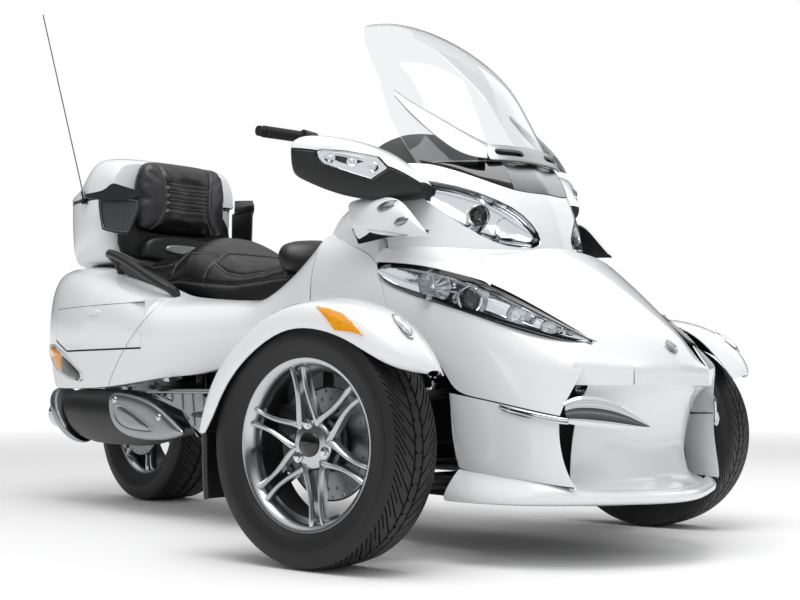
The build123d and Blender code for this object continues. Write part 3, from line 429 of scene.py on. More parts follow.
def addSkin(name, rows, finishes, slot, replaced=(), aim=(0, -1, 0), creases=(), ends=(1, 1), wall=3.5, rim=1.0,
            levels=2, body="chassis", ring=False, rowCreases=()):
    # an open skin through rows of points, smoothed and given a wall; creases are (column, amount)
    shape = bmesh.new()
    grid = loft(shape, rows, ring)
    for column, amount in creases:
        crease(shape, [line[column] for line in grid], amount)
    crease(shape, grid[0], ends[0], ring)
    crease(shape, grid[-1], ends[1], ring)
    for place, amount in rowCreases:
        crease(shape, grid[place], amount, ring)
    if not ring:
        crease(shape, [line[0] for line in grid])
        crease(shape, [line[-1] for line in grid])
    faceOut(shape, aim)
    piece = addPiece(name, shape, finishes, body, slot, replaced, 35, False)
    smoothen(piece, levels)
    if wall:
        thicken(piece, wall, rim, len(finishes) > 1)
    return piece


def flip(side, line):
    return [(side * x, y, z) for x, y, z in line]


def onSide(side, rows):
    return [flip(side, row) for row in rows]


def bothWays(rows):
    # rows given from the middle outwards, carried on over the other side
    return [[(-x, y, z) for x, y, z in reversed(row[1:])] + list(row) for row in rows]


def addPair(name, rows, finishes, slot, replaced=(), aim=(0, -1, 0), body="chassis", **more):
    made = []
    for side, label, lower in sides:
        made.append(addSkin(name + label, onSide(side, rows), finishes, slot, replaced,
                            (side * aim[0], aim[1], aim[2]), body=body.format(lower), **more))
    return made


def addBody(name, rows, finishes, slot, replaced=(), creases=(), ends=(0.6, 0.6), levels=2, body="chassis"):
    # a closed body through ring-shaped rows of points, smoothed
    shape = bmesh.new()
    grid = loft(shape, rows, True)
    for column, amount in creases:
        crease(shape, [line[column] for line in grid], amount)
    closeEnds(shape, grid, ends[0], ends[1])
    piece = addPiece(name, shape, finishes, body, slot, replaced, 40)
    smoothen(piece, levels)
    return piece


def addBodyPair(name, rows, finishes, slot, replaced=(), body="chassis", **more):
    return [addBody(name + label, onSide(side, rows), finishes, slot, replaced, body=body.format(lower), **more)
            for side, label, lower in sides]


# millimetres; pitches is how often the tread repeats, face how far the blades stand out
frontWheel = {"radius": 285, "width": 165, "rim": 202, "pitches": 50, "hub": 60, "face": 50, "spoke": 15}
rearWheel = {"radius": 303, "width": 225, "rim": 208, "pitches": 50, "hub": 54, "face": 78, "spoke": 17}


def wheelPoint(wheel, side, u, r, angle):
    # u outwards from the wheel's middle plane, r from the axle, angle from the back upwards
    middle = wheel["middle"]
    x = middle[0] + side * u
    return Vector((x, middle[1] + r * cos(angle), middle[2] + r * sin(angle)))


def spinProfile(shape, wheel, side, profile, steps, ring=False):
    # turns a half section of (u, r) about the axle
    verts = [shape.verts.new(spot(*wheelPoint(wheel, side, u, r, 0))) for u, r in profile]
    edges = [shape.edges.new(pair) for pair in zip(verts, verts[1:])]
    if ring:
        edges.append(shape.edges.new((verts[-1], verts[0])))
    bmesh.ops.spin(shape, geom=verts + edges, cent=spot(*wheel["middle"]), axis=(1, 0, 0), angle=2 * pi,
                   steps=steps, use_merge=True, dvec=(0, 0, 0))
    bmesh.ops.remove_doubles(shape, verts=shape.verts, dist=weldDist)


def polar(wheel, side, point):
    middle = spot(*wheel["middle"])
    y, z = point.y - middle.y, point.z - middle.z
    return (point.x - middle.x) * side * 1000, hypot(y, z) * 1000, atan2(z, y) % (2 * pi)


treadLook = {"perPitch": 6, "groove": 5.5, "slope": 0.7, "crown": 0.0008, "sweep": 0.26}
treadRows = [0, 5, 11, 17, 24, 31, 38, 45, 52, 60, 68]  # millimetres out from the middle, for a 165 tyre


def tyreProfile(wheel):
    # half section from the outer bead over the tread to the inner bead
    half, top, rim = wheel["width"] / 2, wheel["radius"], wheel["rim"]
    wall = top - rim
    wide = half / 82.5
    tread = [(row * wide, top - treadLook["crown"] * row ** 2) for row in treadRows]
    shoulder = [(half * 0.90, top - 7), (half * 0.945, top - 13), (half * 0.965, top - 20)]
    side = [(half * 0.99, rim + wall * 0.62), (half, rim + wall * 0.5), (half * 0.985, rim + wall * 0.4),
            (half * 0.975, rim + wall * 0.38), (half * 0.95, rim + wall * 0.27), (half * 0.9, rim + wall * 0.15),
            (half * 0.885, rim + wall * 0.13), (half * 0.86, rim + wall * 0.10), (half * 0.80, rim + 1),
            (half * 0.74, rim - 5)]
    outer = tread + shoulder + side
    return list(reversed(outer)) + [(-u, r) for u, r in outer[1:]]


def treadSweep(wheel, u):
    # how far round the tread's bars lead at that distance from the middle, as an angle
    share = min(abs(u) / (wheel["width"] * 0.41), 1.25)
    return -treadLook["sweep"] * share ** 1.35


def addTyre(wheel, side):
    shape = bmesh.new()
    perPitch = treadLook["perPitch"]
    steps = wheel["pitches"] * perPitch
    spinProfile(shape, wheel, side, tyreProfile(wheel), steps)
    top = max(shape.faces, key=lambda face: polar(wheel, side, face.calc_center_median())[1])
    if top.normal.dot(top.calc_center_median() - spot(*wheel["middle"])) < 0:
        bmesh.ops.reverse_faces(shape, faces=shape.faces)
    wide = wheel["width"] / 165
    cut = []
    for face in shape.faces:
        u, r, angle = polar(wheel, side, face.calc_center_median())
        column = int(angle / (2 * pi) * steps) % perPitch
        row = abs(u) / wide
        lengthways = 11 < row < 17
        bars = 17 < row < 60 and column == 0
        sipes = 45 < row < 76 and r > wheel["radius"] - 22 and column in (0, 3)
        notches = 5 < row < 11 and column == 2
        if lengthways or bars or sipes or notches:
            cut.append(face)
    bmesh.ops.inset_region(shape, faces=cut, thickness=treadLook["slope"] / 1000,
                           depth=-treadLook["groove"] / 1000, use_even_offset=True)
    for vert in shape.verts:
        u, r, angle = polar(wheel, side, vert.co)
        turn = treadSweep(wheel, u) if r > wheel["radius"] - 32 else 0
        if turn:
            fade = min((r - wheel["radius"] + 32) / 12, 1)
            vert.co = spot(*wheelPoint(wheel, side, u, r, angle + turn * fade))
    return shape


def addSpokes(shape, wheel, side):
    # six pairs of blades that spread round the bolts and run up to the rim
    rim, face, wide = wheel["rim"], wheel["face"], wheel["spoke"]
    reach = [(36, 27, -8, 1.3), (52, 27, -5, 1.2), (72, 24, -3, 1.05), (98, 18, -1, 0.95), (130, 14, 2, 0.85),
             (162, 15, 5, 0.85), (rim - 12, 19, 8, 1.15)]
    for pairNo in range(6):
        middle = radians(80 + 60 * pairNo)
        for lean in (-1, 1):
            rows = []
            for r, apart, rise, share in reach:
                half, top = wide * share / 2, face + rise
                section = [(-half, top - 24), (half, top - 24), (half, top - 5), (half * 0.35, top),
                           (-half * 0.35, top), (-half, top - 5)]
                row = []
                for across, u in section:
                    point = wheelPoint(wheel, side, u, r, middle)
                    offset = lean * apart + across
                    point += Vector((0, -sin(middle), cos(middle))) * offset
                    row.append(point)
                rows.append(row)
            grid = loft(shape, rows, True)
            for column in range(6):
                crease(shape, [line[column] for line in grid], 0.75)
            closeEnds(shape, grid)


def addRim(wheel, side):
    shape = bmesh.new()
    addSpokes(shape, wheel, side)
    half, rim = wheel["width"] / 2 * 0.72, wheel["rim"]
    barrel = [(half + 4, rim - 3), (half + 3.5, rim + 1.5), (half + 1, rim + 2), (half - 1, rim - 1),
              (half - 3, rim - 9), (half - 20, rim - 11), (half - 34, rim - 20), (8, rim - 21),
              (-half + 14, rim - 20), (-half + 6, rim - 10), (-half, rim - 2), (-half - 4, rim),
              (-half - 5, rim - 8), (-half + 8, rim - 26), (half - 34, rim - 30), (half - 14, rim - 20),
              (half - 3, rim - 15), (half + 2, rim - 8)]
    rimPart = bmesh.new()
    spinProfile(rimPart, wheel, side, barrel, 96, True)
    hub, face = wheel["hub"], wheel["face"]
    bell = [(face - 7, 0.0), (face - 7, 27), (face - 8, 30), (face - 9, hub - 14), (face - 12, hub - 5),
            (face - 18, hub), (face - 50, hub), (face - 52, hub - 6), (face - 52, 0.0)]
    spinProfile(rimPart, wheel, side, bell, 96)
    return shape, rimPart


brakeLook = {"radius": 135, "bore": 60, "thick": 5}


def addDiscPart(wheel, side, u):
    # a drilled brake disc on its carrier
    shape = bmesh.new()
    radius, bore = brakeLook["radius"], brakeLook["bore"]
    rings = [bore, bore + 8, radius - 34, radius - 24, radius - 15, radius - 6, radius]
    spinProfile(shape, wheel, side, [(u, r) for r in rings], 96)
    holes = []
    for face in shape.faces:
        _, r, angle = polar(wheel, side, face.calc_center_median())
        column = int(angle / (2 * pi) * 96)
        inside = radius - 34 < r < radius - 24 and column % 4 == 0
        outside = radius - 15 < r < radius - 6 and column % 4 == 2
        if inside or outside:
            holes.append(face)
    bmesh.ops.inset_individual(shape, faces=holes, thickness=0.0018)
    bmesh.ops.delete(shape, geom=holes, context="FACES")
    return shape


def steer(shape, side):
    turn = Matrix.Rotation(parkAngle, 3, "Z")
    bmesh.ops.rotate(shape, verts=shape.verts, cent=spot(side * kingpinX, 0, 0), matrix=turn)


def addBolts(wheel, side):
    # three hexagon wheel bolts in chrome, between the blades
    shape = bmesh.new()
    for angle in (radians(80), radians(200), radians(320)):
        middle = wheelPoint(wheel, side, wheel["face"] - 8, 48, angle)
        turn = Matrix.Rotation(pi / 2, 4, "Y")
        for radius, depth, corners in ((12.5, 4, 32), (9.5, 15, 6)):
            place = Matrix.Translation(spot(*middle)) @ turn
            made = bmesh.ops.create_cone(shape, cap_ends=True, segments=corners, radius1=radius / 1000,
                                         radius2=radius / 1000 * 0.93, depth=depth / 1000, matrix=place)
            rims = {e for v in made["verts"] for e in v.link_edges if len(e.link_faces) == 2
                    and e.calc_face_angle(0) > 1.2}
            bmesh.ops.bevel(shape, geom=list(rims), offset=0.0012, segments=2, profile=0.5, affect="EDGES",
                            material=-1)
    return shape


def capProfile(wheel):
    face = wheel["face"]
    return [(face - 8, 29), (face - 3, 29), (face - 1.5, 28), (face - 1, 26.5), (face + 2.5, 20), (face + 4.5, 10),
            (face + 5, 0.0)]


def buildWheel(wheel, side, label, body, nodes, brakeU, park):
    tyre = addTyre(wheel, side)
    spokes, barrel = addRim(wheel, side)
    for face in barrel.faces:  # the deep part of the barrel is painted dark: painted shade deep inside the wheel
        u, r, _ = polar(wheel, side, face.calc_center_median())
        face.material_index = 1 if u < 6 and r > wheel["hub"] + 4 else 0
    disc = addDiscPart(wheel, side, brakeU)
    bolts = addBolts(wheel, side)
    cap = bmesh.new()
    spinProfile(cap, wheel, side, capProfile(wheel), 48)
    valve = bmesh.new()
    foot = wheelPoint(wheel, side, wheel["width"] * 0.26, wheel["rim"] - 46, radians(-6))
    bmesh.ops.create_cone(valve, cap_ends=True, segments=16, radius1=0.0045, radius2=0.0035, depth=0.03,
                          matrix=Matrix.Translation(spot(*foot)) @ Matrix.Rotation(radians(78), 4, "Y"))
    if park:
        for shape in (tyre, spokes, barrel, disc, bolts, cap, valve):
            steer(shape, side)
    addPiece("tyre" + label, tyre, [rubber], body, "tyre_rubber", [nodes[0]], 30)
    piece = addPiece("spokes" + label, spokes, [wheelSilver], body, "silver_cast", [nodes[1]], 40)
    smoothen(piece)
    # the rim's second finish is the painted shade on the barrel's deep part
    addPiece("rim" + label, barrel, [wheelSilver, coated], body, "silver_cast", [nodes[1]], 40)
    piece = addPiece("brakeDisc" + label, disc, [steel, steel], body, "silver_cast", [nodes[1]], 30)
    thicken(piece, brakeLook["thick"], 0)
    addPiece("wheelBolts" + label, bolts, [plated], body, "chrome", (), 30)
    addPiece("hubCap" + label, cap, [gloss], body, "black_plastic", (), 40)
    addPiece("tyreValve" + label, valve, [soft], body, "grip_rubber", (), 40)


frontWheel["middle"] = Vector((0, 0, 285))
rearWheel["middle"] = Vector((0, wheelbase, 303))
for side, label, name in sides:
    frontWheel["middle"] = Vector((side * wheelX, 0, 285))
    buildWheel(frontWheel, side, label, "front_wheel_" + name, ["front_tyre_" + name, "front_rim_" + name], -26,
               True)
buildWheel(rearWheel, -1, "Rear", "rear_wheel", ["rear_tyre", "rear_rim"], 100, False)
print("wheels ready")


def skinTree(*pieces):
    # the outer surface of finished pieces, for laying other pieces on it
    shape = bmesh.new()
    now = bpy.context.evaluated_depsgraph_get()
    for piece in pieces:
        shape.from_object(piece, now)
    return BVHTree.FromBMesh(shape)


def lay(verts, tree, aim, lift):
    # moves points along aim until they lie the lift, in millimetres, above the skin
    aim = Vector(aim).normalized()
    for vert in verts:
        hit = tree.ray_cast(vert.co - aim * 0.4, aim)[0]
        if hit:
            vert.co = hit - aim * lift / 1000


def addBadge(name, outline, levels, tree, aim, finishes, slot, body="chassis", sharp=35):
    # a low lens or plate on a skin: levels are (share of the outline, height above the skin)
    shape = bmesh.new()
    middle = sum((Vector(point) for point in outline), Vector()) / len(outline)
    rows = [[middle + (Vector(point) - middle) * share for point in outline] for share, _ in levels]
    grid = loft(shape, rows, True)
    for line, (_, lift) in zip(grid, levels):
        lay(line, tree, aim, lift)
    bmesh.ops.contextual_create(shape, geom=grid[-1])
    return addPiece(name, shape, finishes, body, slot, (), sharp)


def oval(middle, across, along, wide, long, steps=28):
    # points round an oval whose axes lie along two given directions
    across, along = Vector(across).normalized(), Vector(along).normalized()
    turns = [2 * pi * i / steps for i in range(steps)]
    return [Vector(middle) + across * cos(t) * wide + along * sin(t) * long for t in turns]


fender = {"wall": 4.5, "rim": 1.2, "body": "knuckle_"}
# angle round the axle, then (distance out from the wheel's middle, radius) from the lip to the inner edge
fenderRows = [
    (4, (93.4, 300), (94.8, 305), (93.4, 317), (88, 327), (60, 333), (10, 336), (-50, 336), (-88, 328)),
    (14, (93.4, 276), (95.2, 286), (93.4, 309), (87, 323), (58, 331), (8, 335), (-50, 335), (-88, 328)),
    (26, (93.4, 269), (95.2, 279), (93.4, 305), (87, 321), (58, 330), (8, 334), (-50, 334), (-88, 328)),
    (46, (93.4, 263), (95.2, 273), (93.4, 303), (87, 321), (58, 331), (8, 334), (-50, 335), (-88, 329)),
    (75, (93.4, 268), (95.2, 277), (93.4, 305), (86, 323), (57, 334), (6, 338), (-50, 340), (-88, 334)),
    (95.2, (93.4, 273), (95.2, 282), (95, 309), (84, 329), (54, 343), (2, 350), (-48, 351), (-88, 344)),
    (116, (94, 279), (93.4, 289), (92, 315), (80, 336), (50, 354), (-4, 363), (-50, 360), (-86, 346)),
    (130, (88, 286), (91, 296), (88, 320), (77, 340), (46, 360), (-6, 369), (-54, 360), (-86, 338)),
    (139, (80, 298), (84, 306), (80, 326), (68, 342), (40, 360), (-8, 369), (-54, 358), (-86, 334)),
    (145, (60, 309), (65, 316), (63, 332), (54, 345), (32, 358), (-12, 368), (-54, 356), (-84, 334)),
    (149, (28, 322), (34, 328), (35, 339), (30, 348), (14, 358), (-16, 366), (-54, 354), (-82, 334)),
    (152, (-14, 340), (-8, 343), (-5, 348), (-5, 352), (-10, 357), (-24, 362), (-52, 352), (-78, 336)),
]


def turnParked(piece, side):
    there = Matrix.Translation(spot(side * kingpinX, 0, 0))
    piece.data.transform(there @ Matrix.Rotation(parkAngle, 4, "Z") @ there.inverted())


def addFender(side, label, name):
    body = fender["body"] + name
    rows = [[wheelPoint(frontWheel, side, u, r, radians(angle)) for u, r in line] for angle, *line in fenderRows]
    skin = addSkin("fender" + label, rows, *painted, ["front_fender_" + name], (side, 0, 1),
                   [(1, 0.5), (3, 0.35)], (1, 0.6), 0, body=body)
    tree = skinTree(skin)
    thicken(skin, fender["wall"], fender["rim"])
    corners = [(100.5, 320), (107, 322.5), (114, 324.5), (121.5, 321), (128.8, 316), (122, 301), (115, 286),
               (107.7, 303)]
    outline = [wheelPoint(frontWheel, side, 110, r, radians(angle)) for angle, r in corners]
    lens = addBadge("markerLens" + label, outline, [(1.04, -1), (1.03, 2.0), (0.97, 3.4), (0.5, 4.2)], tree,
                    (-side, 0, 0), [amber], "clear_glass", body, 20)
    middle = wheelPoint(frontWheel, side, 4, 358, radians(132.5))
    along = wheelPoint(frontWheel, side, 10, 352, radians(139)) - wheelPoint(frontWheel, side, -2, 364,
            radians(126))
    aim = Vector((-side * 0.45, 0.55, -0.7))
    ring = addBadge("fenderLampRing" + label, oval(middle, aim.cross(along), along, 17, 44),
                    [(1.06, -1), (1.06, 3), (1.0, 4.5), (0.88, 4.5), (0.86, 1.5)], tree, aim, *chromed, body)
    glass = addBadge("fenderLampLens" + label, oval(middle, aim.cross(along), along, 15, 39),
                     [(1.0, 2), (0.97, 6), (0.7, 8.5), (0.35, 9.5)], tree, aim, *lensed, body)
    flap = bmesh.new()
    plan = [(73, 312), (75, 328), (66, 338), (36, 342), (-34, 342), (-84, 334)]
    rows = [[(side * (wheelX + u), y - lean, z) for u, y in plan]
            for z, lean in ((322, 0), (262, 0), (205, 2), (160, 6), (143, 8))]
    loft(flap, rows)
    faceOut(flap, (0, 1, 0))
    flap = addPiece("mudflap" + label, flap, [moulded, moulded], body, "black_plastic", ["mudflap_" + name], 40,
                    False)
    smoothen(flap, 1)
    thicken(flap, 5, 1.5)
    for piece in (skin, lens, ring, glass, flap):
        turnParked(piece, side)


for side, label, name in sides:
    frontWheel["middle"] = Vector((side * wheelX, 0, 285))
    addFender(side, label, name)
print("fenders ready")


noseLook = {"wall": 3.5, "hoodRim": 1.6}


def addHood():
    half = [
        (-550, 148, 20, (421, 421, 421, 421, 421)),
        (-552, 149, 20, (444, 444, 443, 442, 441)),
        (-551, 149, 20, (464, 464, 464, 464, 463)),
        (-546, 150, 22, (478, 477, 474, 470, 468)),
        (-530, 154, 22, (512, 510, 502, 488, 476)),
        (-500, 166, 20, (555, 551, 540, 520, 500)),
        (-442, 190, 10, (604, 599, 586, 563, 534)),
        (-340, 229, 0, (678, 673, 658, 632, 593)),
        (-250, 263, 0, (741, 737, 722, 695, 647)),
        (-195, 286, 0, (777, 773, 759, 728, 674)),
    ]
    rows = [[(wide * share, y + bow * share, z) for share, z in zip((0, 0.3, 0.58, 0.82, 1), heights)]
            for y, wide, bow, heights in half]
    return addSkin("hoodPanel", bothWays(rows), *painted, ["hood"], (0, -1, 1),
            [(0, 1), (8, 1)], (1, 1), noseLook["wall"], noseLook["hoodRim"], body="hood")


def addBadgePlate(panel):
    # a bare oval plate in a bright ring on the hood
    skin = skinTree(panel)
    aim = Vector((0, 0.82, -0.57))
    middle, along = Vector((0, -536, 521)), Vector((0, 0.57, 0.82))
    addBadge("hoodBadgeRing", oval(middle, (1, 0, 0), along, 23, 21),
             [(1.0, -1), (0.99, 2.4), (0.94, 3.2), (0.86, 3.2), (0.82, 1.2)], skin, aim, *chromed, "hood")
    addBadge("hoodBadgePlate", oval(middle, (1, 0, 0), along, 19, 17), [(1.0, 0), (0.98, 1.6), (0.6, 2.6)],
             skin, aim, [satin], "chrome", "hood")


def addFascia():
    rows = [
        [(151, -529, 421), (151, -530, 444), (151, -530, 463), (153, -524, 471), (158, -508, 486), (170, -487, 503),
         (190, -462, 521)],
        [(186, -512, 421), (185, -513, 444), (184, -513, 463), (186, -508, 471), (190, -493, 486), (196, -474, 504),
         (204, -450, 525)],
        [(226, -489, 421), (225, -492, 444), (224, -494, 464), (224, -490, 473), (222, -475, 490), (219, -460, 508),
         (215, -443, 527)],
        [(256, -462, 421), (262, -470, 444), (266, -476, 465), (266, -474, 475), (254, -463, 494), (240, -450, 512),
         (224, -437, 527)],
        [(266, -436, 421), (274, -446, 444), (277, -456, 465), (276, -454, 475), (264, -442, 494), (250, -428, 511),
         (234, -414, 525)],
    ]
    addPair("noseFascia", rows, *painted, ["nose_sides"], (0.4, -1, 0.3),
            creases=[(2, 0.7), (3, 0.5)], rim=1.2)


def addScoop():
    # the hollow under the hood's flange, rounded into the lip below
    half = [
        [(0, -546, 422), (80, -538, 422), (148, -524, 422), (205, -494, 422), (244, -470, 422)],
        [(0, -532, 412), (80, -524, 412), (148, -508, 412), (200, -480, 412), (234, -460, 412)],
        [(0, -506, 394), (80, -500, 394), (148, -484, 394), (196, -458, 394), (226, -439, 394)],
        [(0, -472, 345), (80, -468, 345), (150, -452, 345), (196, -434, 345), (225, -418, 345)],
        [(0, -458, 285), (80, -455, 285), (150, -441, 285), (196, -424, 285), (225, -404, 285)],
        [(0, -470, 226), (80, -468, 226), (152, -466, 226), (196, -421, 228), (226, -400, 228)],
        [(0, -480, 200), (80, -477, 200), (152, -472, 200), (200, -430, 202), (234, -406, 203)],
        [(0, -505, 187), (80, -498, 187), (152, -486, 187), (208, -450, 188), (250, -424, 190)],
        [(0, -545, 180), (80, -530, 180), (152, -496, 180), (212, -464, 182), (264, -432, 186)],
    ]
    addSkin("scoop", bothWays(half), *painted, ["front_bumper"], (0, -1, 0))
    half = [[(x, y, z) for x, y in ((205, -400), (215, -350), (255, -340), (292, -352))]
            for z in (186, 240, 300, 360, 424)]
    addPair("scoopLining", half, [darkAndShade], "black_plastic", (), (-0.5, -1, 0), levels=1)


def addLip():
    # top inner line, shoulder, rim and underside at each station round the nose
    stations = [
        [(0, -532, 179), (0, -566, 178), (0, -582, 171), (0, -586, 158), (0, -568, 143), (0, -440, 140)],
        [(90, -506, 179), (98, -536, 177), (104, -549, 170), (105, -552, 158), (96, -534, 143), (80, -420, 140)],
        [(176, -472, 180), (190, -492, 177), (200, -502, 170), (201, -503, 158), (188, -486, 143),
         (150, -390, 140)],
        [(240, -448, 184), (258, -468, 180), (270, -474, 172), (272, -470, 158), (256, -450, 143),
         (200, -350, 140)],
        [(290, -430, 194), (304, -438, 188), (318, -428, 174), (326, -412, 156), (308, -396, 143),
         (230, -330, 140)],
        [(318, -380, 201), (328, -378, 196), (346, -372, 176), (364, -362, 154), (346, -346, 143),
         (240, -310, 140)],
        [(334, -300, 208), (344, -298, 203), (372, -292, 178), (398, -288, 153), (376, -280, 143),
         (250, -280, 140)],
        [(346, -220, 215), (356, -218, 209), (382, -214, 180), (406, -210, 151), (384, -206, 143),
         (255, -200, 140)],
        [(351, -160, 221), (360, -158, 214), (384, -152, 182), (402, -150, 150), (380, -150, 143),
         (260, -155, 140)],
    ]
    rows = [list(column) for column in zip(*stations)]
    addSkin("frontLip", bothWays(rows), *painted, ["front_lip"], (0, 0, -1), (), (1, 0.5))
    panel = [[(x * share, y, 141) for share in (0, 0.34, 0.67, 1)]
             for x, y in ((150, -470), (236, -390), (262, -300), (262, -160), (250, 40), (235, 240))]
    addSkin("bellyPan", bothWays(panel), *plastic, (), (0, 0, -1), wall=3, levels=1)


def addCheeks():
    # the side panels from the edge of the hollow back to the wheel, low edge first
    lower = [
        [(270, -385, 192), (276, -375, 202), (284, -366, 226), (287, -362, 262), (288, -362, 300), (287, -364, 332),
         (286, -366, 347)],
        [(276, -440, 190), (284, -432, 200), (292, -422, 224), (297, -412, 262), (299, -408, 300), (299, -408, 332),
         (298, -410, 348)],
        [(282, -468, 190), (291, -463, 200), (300, -454, 224), (306, -444, 262), (308, -438, 300), (308, -438, 332),
         (308, -440, 349)],
        [(300, -440, 193), (306, -436, 203), (312, -430, 226), (317, -424, 264), (319, -420, 304), (319, -420, 336),
         (318, -421, 353)],
        [(318, -392, 199), (323, -388, 208), (328, -384, 232), (333, -378, 270), (335, -374, 310), (335, -374, 344),
         (334, -375, 362)],
        [(334, -310, 207), (339, -308, 216), (344, -304, 240), (349, -300, 278), (351, -297, 318), (351, -296, 356),
         (350, -297, 378)],
        [(345, -230, 214), (350, -228, 223), (355, -226, 246), (360, -222, 284), (362, -220, 326), (362, -219, 366),
         (361, -219, 391)],
        [(351, -172, 220), (356, -170, 229), (361, -168, 252), (366, -164, 290), (368, -160, 332), (368, -156, 378),
         (367, -152, 402)],
        [(346, -156, 224), (348, -152, 232), (352, -148, 254), (357, -144, 291), (358, -140, 333), (358, -136, 379),
         (357, -132, 403)],
    ]
    addPair("cheekLower", lower, *painted, ["side_fairings"], (1, -0.5, 0),
            creases=[(1, 0.2)], rim=1.4, rowCreases=[(2, 0.75)])
    upper = [
        [(286, -367, 352), (278, -372, 372), (268, -384, 398), (256, -404, 430), (250, -440, 462), (240, -450, 482),
         (228, -445, 504), (220, -440, 518)],
        [(299, -411, 352), (291, -416, 372), (280, -426, 398), (266, -442, 430), (258, -460, 462), (247, -462, 482),
         (232, -452, 504), (222, -443, 519)],
        [(308, -441, 352), (300, -444, 372), (288, -452, 398), (274, -464, 430), (264, -476, 462), (252, -470, 482),
         (236, -458, 504), (224, -447, 520)],
        [(318, -422, 356), (312, -424, 376), (302, -430, 402), (290, -440, 434), (280, -450, 466), (268, -444, 488),
         (254, -430, 510), (242, -414, 528)],
        [(334, -376, 365), (330, -377, 386), (324, -380, 412), (315, -386, 444), (306, -392, 476), (296, -388, 504),
         (286, -372, 526), (280, -354, 543)],
        [(350, -298, 381), (348, -299, 402), (344, -302, 430), (337, -306, 462), (329, -308, 498), (322, -302, 528),
         (316, -286, 556), (311, -270, 572)],
        [(361, -221, 394), (360, -221, 416), (357, -223, 444), (352, -226, 480), (346, -228, 520), (341, -222, 556),
         (338, -206, 586), (336, -190, 600)],
        [(367, -156, 406), (367, -160, 430), (365, -166, 458), (361, -152, 500), (357, -136, 548), (353, -124, 586),
         (352, -116, 608), (350, -108, 622)],
        [(368, -120, 470), (369, -108, 488), (371, -88, 506), (371, -66, 530), (369, -48, 570), (366, -36, 608),
         (363, -26, 632), (361, -20, 642)],
        [(372, -70, 508), (373, -50, 518), (375, -24, 530), (376, 4, 556), (376, 26, 596), (374, 44, 634),
         (372, 62, 662), (370, 78, 678)],
        [(376, 20, 512), (378, 40, 528), (381, 62, 548), (382, 84, 580), (381, 102, 624), (378, 118, 668),
         (374, 126, 700), (370, 130, 722)],
    ]
    addPair("cheekUpper", upper, *painted, ["side_fairings"], (1, -0.5, 0),
            creases=[(4, 0.25)], rim=1.4, rowCreases=[(2, 0.75)])


def addBlades():
    # bright blades: one let into each cheek, one sweeping from its edge across the hollow
    rows = []
    for y, x, top, low, out in ((-284, 351.5, 380, 379, 1), (-300, 349, 377, 361, 6), (-352, 338, 366, 348, 8),
                                   (-404, 323, 356, 339, 8), (-446, 309, 349, 333, 7), (-458, 300, 347, 332, 4)):
        middle = (top + low) / 2
        rows.append([(x - 3, y, top), (x + out * 0.7, y, top - 1), (x + out, y - 1, (top + middle) / 2),
                     (x + out * 0.55, y, middle), (x + out, y - 1, (low + middle) / 2), (x + out * 0.8, y, low + 1),
                     (x - 3, y, low)])
    addBodyPair("cheekBlade", rows, *chromed, ["fins"], creases=[(1, 0.5), (5, 0.5)])
    rows = []
    for x, y, top, low in ((302, -447, 380, 336), (286, -456, 392, 332), (266, -469, 397, 329),
                           (236, -490, 396, 325), (205, -511, 386, 322), (176, -531, 367, 321),
                           (150, -548, 344, 322), (133, -558, 330, 325)):
        rows.append([(x + (top - low) * dx, y - (top - low) * out, low + (top - low) * share) for share, out, dx in
                     ((1, -0.02, 0), (0.86, 0.1, 0), (0.6, 0.06, 0), (0.42, 0.13, 0), (0.12, 0.2, 0),
                      (0, 0.06, 0))])
    addPair("noseBlade", rows, *chromed, (), creases=((1, 0.3), (3, 0.5)), wall=3)


panel = addHood()
addFascia()
addScoop()
addLip()
addCheeks()
addBlades()
addBadgePlate(panel)
print("nose ready")


def addTurned(name, middle, aim, profile, finishes, slot, body="chassis", steps=40, flutes=0, pair=True):
    # turns a line of (radius, distance along aim) about its axis; flutes waves the turned wall
    for side, label, lower in sides if pair else ((1, "", ""),):
        shape = bmesh.new()
        axis = Vector((side * aim[0], aim[1], aim[2])).normalized()
        across = axis.orthogonal().normalized()
        foot = Vector((side * middle[0], middle[1], middle[2]))
        line = [shape.verts.new(spot(*(foot + across * r + axis * d))) for r, d in profile]
        edges = [shape.edges.new(pair) for pair in zip(line, line[1:])]
        bmesh.ops.spin(shape, geom=line + edges, cent=spot(*foot), axis=axis, angle=2 * pi, steps=steps,
                       use_merge=True, dvec=(0, 0, 0))
        bmesh.ops.remove_doubles(shape, verts=shape.verts, dist=weldDist)
        if flutes:
            second = axis.cross(across)
            for vert in shape.verts:
                off = vert.co - spot(*foot)
                angle = atan2(off.dot(second), off.dot(across))
                vert.co += axis * cos(angle * flutes) * off.length * 0.035
        addPiece(name + label, shape, finishes, body.format(lower), slot, (), 40)


# the lens from the nose to its rear tip, each row from its low edge to its high one
lampRows = [
    [(211, -457, 522), (210, -457, 523), (209, -457, 524), (208, -456, 525), (206, -455, 526)],
    [(231, -440, 518), (228, -443, 524), (223, -443, 529), (216, -441, 533), (206, -437, 534)],
    [(272, -392, 534), (266, -396, 546), (257, -396, 556), (244, -392, 562), (227, -387, 563)],
    [(303, -342, 552), (296, -346, 568), (284, -347, 581), (267, -343, 590), (246, -338, 592)],
    [(322, -285, 569), (315, -290, 590), (302, -292, 607), (284, -288, 618), (264, -284, 622)],
    [(335, -230, 586), (329, -234, 611), (317, -236, 631), (301, -233, 645), (282, -229, 651)],
    [(352, -135, 616), (349, -138, 645), (342, -140, 668), (331, -138, 684), (319, -135, 693)],
    [(364, -20, 649), (365, -22, 676), (363, -24, 698), (357, -23, 713), (348, -20, 722)],
    [(372, 62, 676), (374, 60, 694), (373, 58, 710), (368, 58, 722), (360, 60, 730)],
    [(374, 100, 697), (375, 100, 707), (374, 100, 716), (371, 100, 725), (365, 100, 733)],
    [(375, 113, 711), (375, 114, 714), (375, 114, 717), (374, 114, 720), (372, 113, 723)],
]
lampLook = {"depth": 34, "trim": 0.22, "trimLow": 0.07}


